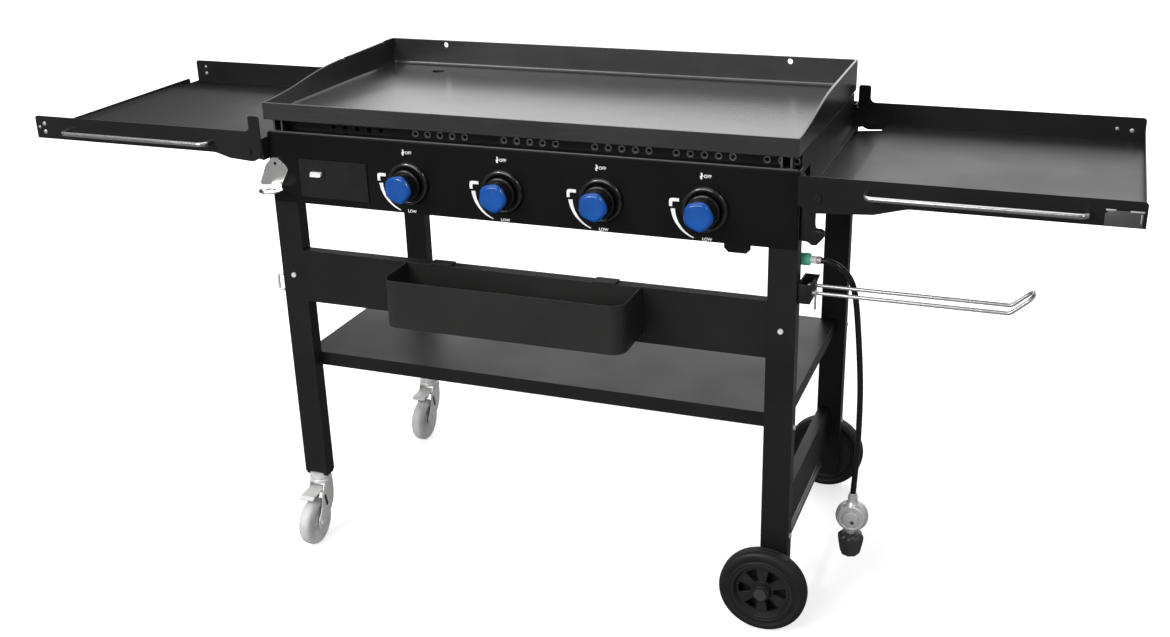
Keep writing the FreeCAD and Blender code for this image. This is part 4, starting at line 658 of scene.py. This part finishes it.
def make_hand_nut():
    """Black nut with eight deep lobes, wider at its shoulder."""
    levels = [(-2.6, 13.0, 0), (-2.0, 16.2, 0.02), (0.6, 19.0, 0.05), (3.6, 20.8, 0.075),
              (9, 21.0, 0.08), (20, 19.4, 0.08), (33, 17.2, 0.07), (37.6, 16.2, 0.06),
              (39.4, 15.0, 0.04), (39.9, 13.4, 0)]
    bm = tower(levels, 96, 8)
    for way in (1, -1):
        ends = [face for face in bm.faces if len(face.verts) > 20 and face.normal.z * way > 0.9]
        bmesh.ops.inset_region(bm, faces=ends, thickness=1.2 if way > 0 else 3.6, depth=0.0)
        bmesh.ops.inset_region(bm, faces=ends, thickness=0.3, depth=-28.0 if way > 0 else -4.0)
    low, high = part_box("hand_nut")
    place = ((low[0] + high[0]) / 2, (low[1] + high[1]) / 2, high[2])
    return fitted("nut_lobes", settle(bm, place, DOWN), "nut", "black_plastic", nut_plastic,
                  smooth=35, stands_for=["hand_nut"])


def make_inlet():
    """Hexagon nut with a green band on the inlet of the manifold."""
    nut = tower([(0, 10.6, 0), (0.9, 11.5, 0), (8.4, 11.5, 0), (9.2, 10.6, 0)], 6)
    shoulder = lathe([(0, 9), (9, 9.2), (9.6, 10), (9.6, 13.2), (8, 13.8), (0, 13.8)], 48, True)
    green = lathe([(0, 13.8), (9.4, 13.9), (10, 14.8), (10, 26.8), (9.4, 27.8), (0, 28)], 48, True)
    shapes = [nut, shoulder, dyed(green, 1)]
    shapes = [settle(shape, spot(455, INLET_Y, INLET_Z), TO_RIGHT) for shape in shapes]
    fitted("inlet_bands", gathered(shapes), "stand", "fitting_metal", cast_zinc, band_green,
           smooth=35, stands_for=["hose_fitting"])


def make_sleeve():
    """White band and crimped ferrule at the start of the hose."""
    white = lathe([(4.2, 0), (5.8, 0.2), (6.1, 0.8), (6.1, 8.6), (5.6, 9.4), (4.2, 9.4)], 40, True)
    crimp = lathe([(5.05, 9.4), (6.2, 9.6), (6.5, 10.4), (6.5, 12.2), (6.1, 12.8), (6.5, 13.4),
                   (6.5, 16.2), (6.0, 17.2), (5.05, 17.4)], 40, True)
    shapes = [dyed(white, 1), crimp]
    shapes = [settle(shape, spot(483, INLET_Y, INLET_Z), TO_RIGHT) for shape in shapes]
    return fitted("hose_sleeve", gathered(shapes), "stand", "ferrule_metal", ferrule_steel,
                  band_white, smooth=35, stands_for=["hose_ferrule"])


def make_hose(sleeve, regulator, nut):
    """The gas hose on the route of its CAD tube; the pieces passed to it are not used."""
    curve = bpy.data.curves.new("gas_hose_skin", "CURVE")
    curve.dimensions = "3D"
    curve.bevel_depth = HOSE_RADIUS
    curve.bevel_resolution = 5
    curve.resolution_u = 8
    curve.use_fill_caps = True
    spline = curve.splines.new("NURBS")
    spline.points.add(len(HOSE_ROUTE) - 1)
    for point, place in zip(spline.points, HOSE_ROUTE):
        point.co = (*spot(*place), 1.0)
    spline.order_u = 3
    spline.use_endpoint_u = True
    curve.materials.append(hose_black)
    hose = bpy.data.objects.new("gas_hose_skin", curve)
    bpy.context.scene.collection.objects.link(hose)
    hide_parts("gas_hose")
    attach(hose, "stand")


make_hose(make_sleeve(), make_regulator(), make_hand_nut())
make_inlet()


# Pan

SWEEP = ((-12, 862), (20, 863), (50, 865), (85, 868.5), (115, 872.5), (147, 877), (180, 880.8),
         (215, 883.5), (255, 885.4), (300, 886.8), (364, 888))
NOTCHES, NOTCH_RADIUS = (270, 424), 3.9
SIDE_WALL, LIP_TOP, BACK_WALL = 465.5, 850, 464
PLATE_TOP = 0.838  # in metres, as the mesh has it


def rim_height(x, y):
    """Height of a side wall's upper edge, in millimetres."""
    for (y0, z0), (y1, z1) in zip(SWEEP, SWEEP[1:]):
        if y0 <= y <= y1:
            height = z0 + (z1 - z0) * (y - y0) / (y1 - y0)
            break
    else:
        height = SWEEP[-1][1]
    if x < 0:
        for notch in NOTCHES:
            if abs(y - notch) < NOTCH_RADIUS:
                height -= math.sqrt(max(0.0, NOTCH_RADIUS ** 2 - (y - notch) ** 2))
    return height


def make_pan():
    """The pan with the long sweep of its side walls and bends along its floor."""
    cuts = [y for y, _ in SWEEP[1:]]
    for notch in NOTCHES:
        cuts += [notch + step
                 for step in (-NOTCH_RADIUS, -3.2, -1.9, 0, 1.9, 3.2, NOTCH_RADIUS)]
    bm = node_sheet("griddle_pan", cuts)
    for point in bm.verts:
        x, y, z = measured(point)
        if abs(x) > SIDE_WALL and z > LIP_TOP and y < BACK_WALL:
            point.co.z = min(z, rim_height(x, y)) / 1000
    bmesh.ops.remove_doubles(bm, verts=bm.verts, dist=2e-5)
    bmesh.ops.dissolve_degenerate(bm, edges=bm.edges, dist=1e-5)
    bends = []
    for edge in bm.edges:
        if len(edge.link_faces) != 2 or edge.calc_face_angle() < 0.9 or edge.is_convex:
            continue
        first, second = (point.co for point in edge.verts)
        along_floor = abs(first.z - PLATE_TOP) < 1e-4 and abs(second.z - PLATE_TOP) < 1e-4
        rear_corner = abs(first.z - second.z) > 0.03 and first.y > 0.2
        if along_floor or rear_corner:
            bends.append(edge)
    eased(bm, bends, 0.006, 4)
    bmesh.ops.recalc_face_normals(bm, faces=bm.faces)
    fitted("pan_sheet", bm, "griddle", "griddle_steel", plate_steel, smooth=40,
           stands_for=["griddle_pan"])


make_pan()


# Knobs and their marks

KNOBS = (-199, -25, 149, 323)
KNOB_Z = 737
PANEL_FACE = -1.5
ARC_RADIUS = 53.2
INK = 0.12


def make_knob(number, x):
    """Black grip with five shallow lobes and a blue front with a chamfered rim."""
    levels = [(0, 26.4, 0), (0.6, 27, 0), (3.0, 27, 0), (4.0, 26.3, 0), (4.6, 24.9, 0.01),
              (7, 24.6, 0.02), (12, 24.4, 0.03), (26.2, 23.9, 0.035), (26.6, 23.5, 0.035),
              (27.0, 23.9, 0.035), (29.2, 23.7, 0.035), (30.4, 23.0, 0.034),
              (32.8, 20.0, 0.030), (33.4, 18.6, 0.025), (33.4, 17.6, 0.02), (32.9, 14.0, 0.01),
              (32.8, 7.0, 0), (32.8, 6.4, 0)]
    grip = tower(levels, sides=120, lobes=5, turn=math.radians(-6))
    dyed(grip, 1, lambda middle: middle.z > 26.8)
    fitted("knob_grip_%d" % number, settle(grip, spot(x, -13, KNOB_Z), TO_COOK),
           "burner_knob_%d" % number, "blue_plastic", knob_black, blue_cap, smooth=28,
           stands_for=["knob_%d" % number])


def make_bezels():
    """Glossy rings on the panel, with a groove round the skirt of each knob."""
    outline = [(28.2, 0), (28.2, 4.8), (28.7, 5.6), (30.2, 6.6), (32.2, 7.5), (34.2, 7.4),
               (36.4, 6.2), (37.8, 4.2), (38.4, 1.8), (38.4, 0)]
    rings = [settle(lathe(outline, 96, True), spot(x, PANEL_FACE, KNOB_Z), TO_COOK) for x in KNOBS]
    fitted("bezel_rings", gathered(rings), "stand", "black_plastic", gloss_black, smooth=50,
           stands_for=["knob_bezels"])


def heat_arc():
    """A printed arc from high to low that narrows downwards."""
    bm = bmesh.new()
    ends = [bm.verts.new((49.5, 0.0, 0.0)), bm.verts.new((56.9, 0.0, 0.0))]
    line = bm.edges.new(ends)
    start, sweep = math.radians(183), math.radians(66)
    bmesh.ops.rotate(bm, verts=ends, cent=(0, 0, 0), matrix=Matrix.Rotation(start, 3, "Z"))
    bmesh.ops.spin(bm, geom=ends + [line], cent=(0, 0, 0), axis=(0, 0, 1), angle=sweep, steps=26)
    for point in bm.verts:
        angle = math.atan2(point.co.y, point.co.x) % math.tau
        share = (angle - start) / sweep
        side = 1 if point.co.length > ARC_RADIUS else -1
        half_width = 3.6 - 2.9 * share
        point.co = point.co.normalized() * (ARC_RADIUS - 1.2 * share + side * half_width)
    return bm


def flat(outline):
    """A flat face of an outline."""
    bm = bmesh.new()
    bm.faces.new([bm.verts.new((x, y, 0.0)) for x, y in outline])
    return bm


def end_mark():
    """The bent bar over the upper end of the arc."""
    return flat([(-59.4, 0.8), (-54.2, 0.8), (-54.2, 7.6), (-53.0, 9.2), (-43.0, 9.2),
                 (-43.0, 14.6), (-55.2, 14.6), (-58.2, 13.2), (-59.4, 10.2)])


def spark_mark():
    """The small bolt beside the upper word."""
    return flat([(-8.6, -5.0), (-5.9, -5.0), (-6.6, -1.2), (-4.2, -0.6), (-6.4, 5.4), (-8.6, 5.4),
                 (-7.6, 0.8), (-9.8, 0.2)])


def word(text, height):
    """Flat letters about the origin, in millimetres."""
    curve = bpy.data.curves.new(text, "FONT")
    curve.body, curve.size = text, height / 0.70
    curve.align_x, curve.align_y = "CENTER", "CENTER"
    curve.offset = 0.22
    curve.resolution_u = 3
    item = bpy.data.objects.new(text, curve)
    mesh = bpy.data.meshes.new_from_object(item)
    bm = bmesh.new()
    bm.from_mesh(mesh)
    for made, store in ((item, bpy.data.objects), (curve, bpy.data.curves),
                        (mesh, bpy.data.meshes)):
        store.remove(made)
    return bm


def raised(bm):
    """Give flat ink its thickness, towards +Z whatever way its faces look."""
    for face in bm.faces:
        if face.normal.z < 0:
            face.normal_flip()
    grown = bmesh.ops.extrude_face_region(bm, geom=bm.faces[:])["geom"]
    bmesh.ops.translate(bm, verts=points_of(grown), vec=(0.0, 0.0, INK))
    bmesh.ops.recalc_face_normals(bm, faces=bm.faces)
    return bm


def make_print():
    """Marks of the knobs in white ink, a hair proud of the panel."""
    marks = []
    for x in KNOBS:
        placed = ((heat_arc(), (0, 0)), (end_mark(), (0, 0)), (word("OFF", 5.0), (3.4, 53.4)),
                  (word("LOW", 4.8), (3.2, -49.2)), (spark_mark(), (0.6, 53.6)))
        for bm, (across, up) in placed:
            bmesh.ops.translate(bm, verts=bm.verts, vec=(across, up, 0.0))
            bm.normal_update()
            marks.append(settle(raised(bm), spot(x, PANEL_FACE, KNOB_Z), TO_COOK))
    fitted("knob_marks", gathered(marks), "stand", "panel_steel", white_ink, smooth=None)


for count, x in enumerate(KNOBS):
    make_knob(count + 1, x)
make_bezels()
make_print()


# Igniter

def make_igniter():
    """Bright slanted push button, dished in front."""
    slant = 0.28
    bm = block((21.0, 8.6, 9.0))
    front = [face for face in bm.faces if face.normal.z > 0.9]
    bmesh.ops.inset_region(bm, faces=front, thickness=1.1, depth=-0.5)
    eased(bm, bm.edges, 0.35, 2)
    for point in bm.verts:
        point.co.x += point.co.y * slant
    low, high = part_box("igniter_button")
    middle = (Vector(low) + Vector(high)) / 2
    place = Vector((middle.x, low[1] + 0.0045, middle.z))
    fitted("igniter_push", settle(bm, place, TO_COOK), "igniter", "black_plastic", pale_cap,
           smooth=35, stands_for=["igniter_button"])


make_igniter()


# Large wheels

WHEEL_X, WHEEL_Z = 437, 76
TYRE_WIDTH = 34
CAP_STEP = 0.0047


def make_tyres():
    """Tyres with a stepped sidewall, a bead ring and grooves in the tread."""
    half = [(54.4, 2.2), (55.0, 1.6), (57.0, 1.8), (58.2, 3.0), (60.0, 3.2), (64.0, 1.4),
            (67.0, 0.5), (69.5, 1.2), (70.2, 2.4), (72.2, 3.0), (74.6, 5.6), (75.6, 8.6),
            (75.9, 11.2), (74.9, 11.7), (74.9, 12.9), (76.0, 13.4), (76.0, 16.2), (75.0, 16.6)]
    for end, y, turn in (("front", -5, TO_COOK), ("rear", 495, TO_REAR)):
        outline = half + [(radius, TYRE_WIDTH - height) for radius, height in reversed(half)]
        bm = settle(lathe(outline, 112, True), spot(WHEEL_X, y, WHEEL_Z), turn)
        fitted("tyre_tread_" + end, bm, "wheel_" + end, "wheel_tyre", tyre_black, smooth=35,
               stands_for=["tyre_" + end])


def make_wheel_backs():
    """Dark discs that close the openings of the rims on the inner side, painted shade seen through
    the openings.
    """
    outline = [(13, 0), (54.2, 0), (54.2, 0.8), (50, 1.2), (46, 3.0), (16, 3.0), (13, 1.2)]
    for end, y, turn in (("front", -6.4, TO_COOK), ("rear", 496.4, TO_REAR)):
        bm = settle(lathe(outline, 64, True), spot(WHEEL_X, y, WHEEL_Z), turn)
        fitted("wheel_back_shade_" + end, bm, "wheel_" + end, "wheel_rim", shadow_steel, smooth=35)


def make_hub_caps():
    """Pressed caps with a domed middle over the ends of the axle."""
    caps = []
    outline = [(0, 4.6), (3.2, 4.4), (5.2, 3.4), (6.0, 2.4), (8.6, 2.0), (10.2, 1.2), (10.8, 0),
               (0, 0)]
    low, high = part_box("wheel_axle")
    for y, turn in ((low[1], TO_COOK), (high[1], TO_REAR)):
        step = CAP_STEP if turn is TO_COOK else -CAP_STEP
        caps.append(settle(lathe(outline, 40, True),
                           (WHEEL_X / 1000, y + step, WHEEL_Z / 1000), turn))
    fitted("axle_caps", gathered(caps), "stand", "zinc_steel", gloss_black, smooth=40)


make_tyres()
make_wheel_backs()
make_hub_caps()


# Casters

CASTER_X = -448.5
CASTERS = (("front", 13), ("rear", 477))
TRAIL, ROLLER_Z, ROLLER_WIDTH = 36, 45, 24
SIDE_VIEW = Matrix(((0, 0, 1, 0), (1, 0, 0, 0), (0, 1, 0, 0), (0, 0, 0, 1)))

# Side of a pressed fork, as (y from the stem, z).
CHEEK = ((13, 118), (13, 92), (9, 74), (0, 60), (-14, 46), (-22, 35), (-29, 31), (-36, 30),
         (-43, 32), (-48, 38), (-49, 46), (-46, 54), (-38, 64), (-32, 74), (-29, 88),
         (-24, 104), (-17, 118))


def make_fork(y):
    """Two tapered cheeks, a crown with a rolled rim, its race, a bridge and the axle's bosses."""
    shapes = []
    for x in (14.9, -17.4):
        cheek = slab(CHEEK, 2.5, 0.7)
        shapes.append(settle(cheek, spot(CASTER_X + x, y, 0), SIDE_VIEW))
    crown = lathe([(7.4, 0), (17.6, 0), (18.6, 0.6), (19, 1.6), (18.8, 2.6), (17.6, 3.0),
                   (15.2, 2.6), (13.6, 3.8), (11.6, 4.4), (7.4, 4.4)], 56, True)
    shapes.append(settle(crown, spot(CASTER_X, y, 116.2)))
    race = lathe([(5, 118.4), (20.2, 118.4), (21, 119.6), (21, 123.4), (20, 124.8), (18.6, 125.4),
                  (19.8, 126.4), (20.2, 128.2), (19.2, 131.4), (15, 133), (5, 133.2)], 56, True)
    shapes.append(settle(race, spot(CASTER_X, y, 0)))
    bridge = block((34.8, 28, 2.5), 0.6)
    shapes.append(settle(bridge, spot(CASTER_X, y - 1.5, 117.9)))
    for x in (17.4, -17.4):
        boss = lathe([(3.4, 0), (7.2, 0), (7.0, 0.9), (5.6, 1.3), (3.4, 1.3)], 32, True)
        outwards = TO_RIGHT if x > 0 else TO_LEFT
        shapes.append(settle(boss, spot(CASTER_X + x, y - TRAIL, ROLLER_Z), outwards))
    return shapes


def make_caster(end, y):
    """One caster: fork, dark marks of painted shade for the slot in each cheek, wheel and brake
    shoe.
    """
    fitted("fork_pressing_" + end, gathered(make_fork(y)), "caster_" + end, "zinc_steel",
           zinc, smooth=40, stands_for=["caster_fork_" + end])
    # Thin near-black slabs on the cheeks: painted shade where the slot of each cheek is.
    slot_shades, depth = [], 0.25
    for x in (17.45, -17.45):
        mark = slab([(-3.4, -10), (-2.4, -12.2), (0, -13), (2.4, -12.2), (3.4, -10), (3.4, 10),
                     (2.4, 12.2), (0, 13), (-2.4, 12.2), (-3.4, 10)], depth)
        side = SIDE_VIEW @ Matrix.Rotation(math.radians(12), 4, "Z")
        inner = x if x > 0 else x - depth
        slot_shades.append(settle(mark, spot(CASTER_X + inner, y - 17, 84), side))
    fitted("fork_slot_shades_" + end, gathered(slot_shades), "caster_" + end, "zinc_steel", shadow_steel,
           smooth=None)
    outline = [(4.4, 0.4), (11.5, 0.4), (12.6, 1.4), (13.4, 3.4), (27, 3.6), (29, 2.8), (30.4, 1.0),
               (34.5, 0.3), (38.6, 0.6), (42.0, 2.2), (44.2, 5.2), (45.0, 9.0)]
    wheel = outline + [(radius, ROLLER_WIDTH - height) for radius, height in reversed(outline)]
    hub = spot(CASTER_X - ROLLER_WIDTH / 2, y - TRAIL, ROLLER_Z)
    bm = settle(lathe(wheel, 88, True), hub, TO_RIGHT)
    fitted("caster_tread_" + end, bm, "roller_" + end, "caster_rubber", caster_grey, smooth=40,
           stands_for=["caster_wheel_" + end])
    shoe = settle(block((19, 16, 4.6), 1.4, 3), spot(CASTER_X, y - 33, 98.0))
    fitted("brake_shoe_" + end, shoe, "pedal_" + end, "black_plastic", black_plastic, smooth=40)


def make_leg_plugs():
    """Black plugs with rounded corners in the feet of the left legs, over the races."""
    plugs = []
    for _, y in CASTERS:
        bm = block((45.6, 24.6, 9.0), 2.4, 3)
        plugs.append(settle(bm, spot(CASTER_X, y, 137.6)))
    fitted("leg_plugs", gathered(plugs), "stand", "black_plastic", black_plastic, smooth=40)


for end, y in CASTERS:
    make_caster(end, y)
make_leg_plugs()


# Rivets, vent rims in painted light, hooks, holder bracket, left tray and panel lip with a painted
# highlight

def dome_head(radius, height):
    """A rivet's domed head."""
    return tower([(0, radius, 0), (height * 0.3, radius, 0), (height * 0.62, radius * 0.88, 0),
                  (height * 0.88, radius * 0.58, 0), (height, radius * 0.2, 0)], 20)


def make_rivets(name, body, slot, material, heads):
    """Domed heads at (x, y, z, turn, radius) on one body."""
    shapes = [settle(dome_head(radius, radius * 0.45), spot(x, y, z), turn)
              for x, y, z, turn, radius in heads]
    fitted(name, gathered(shapes), body, slot, material, smooth=40)


BOX_HALF, VENT_PITCH, VENT_Z = 468, 23, 817
# Groups of vents, as (share of the half width, number of holes).
VENTS = ((-0.316, 5), (0.034, 5), (0.376, 5), (0.669, 5), (0.932, 3))


def make_vent_light_rings():
    """Turned rims of the vent holes, light grey as painted light from the lit inside seen through
    the holes.
    """
    rim = [(3.0, -1.2), (6.2, 0), (6.0, 0.7), (5.0, 1.0), (4.0, 0.2), (3.0, -0.8)]
    shapes = []
    for share, count in VENTS:
        for step in range(count):
            x = share * BOX_HALF + VENT_PITCH * (step - (count - 1) / 2)
            shapes.append(settle(lathe(rim, 20, True), spot(x, 26, VENT_Z), TO_COOK))
    fitted("vent_light_rings", gathered(shapes), "stand", "black_steel", painted_vent_light, smooth=40)


def make_hooks():
    """Wire hooks on the left leg, and a broad moulded hook for the hose on the right one."""
    wires = bmesh.new()
    wires.from_mesh(NODES["side_hooks"].data)
    gone = [point for point in wires.verts if point.co.x > 0 and point.co.z > 0.64]
    bmesh.ops.delete(wires, geom=gone, context="VERTS")
    bmesh.ops.remove_doubles(wires, verts=wires.verts, dist=1e-5)
    fitted("hook_wires", wires, "stand", "zinc_steel", zinc, smooth=40, stands_for=["side_hooks"])
    outline = [(0, 697), (12, 696), (18, 691), (26, 691), (33, 699), (38, 706), (38, 712),
               (33, 716), (24, 716), (22, 722), (22, 742), (29, 752), (33, 761), (0, 761)]
    hook = settle(slab(outline, 14, 2.4, 3), spot(472, 20, 0), TO_COOK)
    fitted("hose_hook", hook, "stand", "black_plastic", black_plastic, smooth=40)


def make_holder_bracket():
    """Folded bracket on the right leg that the holder's wires run into."""
    cheek = [(0, 594), (20.5, 594), (20.5, 613), (25, 626), (0, 626)]
    shapes = [settle(slab(cheek, 2.5, 0.6), spot(472, y, 0), TO_COOK) for y in (6, 58.5)]
    shapes.append(settle(block((2.5, 52, 30), 0.7), spot(491.2, 32, 609)))
    shapes.append(settle(block((3, 55, 32), 0.7), spot(473.5, 31, 610)))
    tail = lathe([(0, 0), (1.2, 0), (1.7, 0.6), (1.7, 31), (1.2, 32), (0, 32)], 16, True)
    shapes.append(dyed(settle(tail, spot(501, 4, 587)), 1))
    fitted("folded_bracket", gathered(shapes), "stand", "black_steel", black_coat, chrome,
           smooth=40, stands_for=["holder_bracket"])


def make_shelf_fittings():
    """Rivets at the outer ends of both shelves and the formed plate at the right front, with light
    strips on its rim as painted highlights.
    """
    front, back = -20.0, 478.4
    make_rivets("shelf_rivets_left", "shelf_left", "zinc_steel", dull_bright, [
        (-942, front, 798, TO_COOK, 4.0), (-942, front, 783, TO_COOK, 4.0),
        (-954, front, 791, TO_COOK, 2.6),
        (-938, back, 804, TO_COOK, 3.2), (-938, back, 790, TO_COOK, 3.6)])
    make_rivets("shelf_rivets_right", "shelf_right", "zinc_steel", dull_bright, [
        (916, back, 788, TO_COOK, 3.2), (940, back, 786, TO_COOK, 4.0)])
    plate = settle(slab([(-25, -10), (25.5, -10), (25.5, 13), (-19, 13), (-25, 8)], 1.6, 0.5),
                   spot(931.5, front, 781), TO_COOK)
    # Light strips on the plate's rim: painted highlights where its edges catch the light.
    highlight_beads = [settle(block((14, 3.0, 3.0), 1.2, 3), spot(914, front - 1.6, 794.5)),
             settle(block((19, 3.0, 2.6), 1.1, 3), spot(948.5, front - 1.6, 794.0)),
             settle(block((2.0, 2.2, 14), 0.8), spot(954.6, front - 1.4, 784))]
    fitted("corner_plate", gathered([plate] + [dyed(bead, 1) for bead in highlight_beads]),
           "shelf_right", "black_steel", plate_grey, dull_bright, smooth=40)


def make_left_tray():
    """The left shelf with taller front and rear walls, and an end wall lowest at the rear."""
    rim, ear_top, ear_rise, end_x, end_rim = 802.9, 840, 31, -955, 788
    # These four are in metres, as the mesh has them.
    rear_rise, front_rise, end_low, corner_low = 0.008, 0.003, 0.784, 0.7735
    bm = node_sheet("side_shelf_left", (446, 448))
    for point in bm.verts:
        x, y, z = measured(point)
        if z > rim and (y > 470 or y < -10):
            rise = rear_rise if y > 470 else front_rise
            point.co.z += rise * min(1.0, (ear_top - z) / ear_rise)
        elif abs(z - end_rim) < 0.1 and x < end_x:
            point.co.z = corner_low if 447 < y < 479 else end_low
    bmesh.ops.recalc_face_normals(bm, faces=bm.faces)
    fitted("tray_left", bm, "shelf_left", "black_steel", shelf_coat, smooth=40,
           stands_for=["side_shelf_left"])


def make_panel_lip():
    """Rolled upper edge of the panel, pale grey all over as a painted highlight along its length."""
    lip = block((936, 3.0, 3.2), 1.2, 3)
    fitted("panel_lip_highlight", settle(lip, spot(0, 0.2, 810.6)), "stand", "panel_steel", plate_grey,
           smooth=50)


make_vent_light_rings()
make_hooks()
make_holder_bracket()
make_shelf_fittings()
make_left_tray()
make_panel_lip()
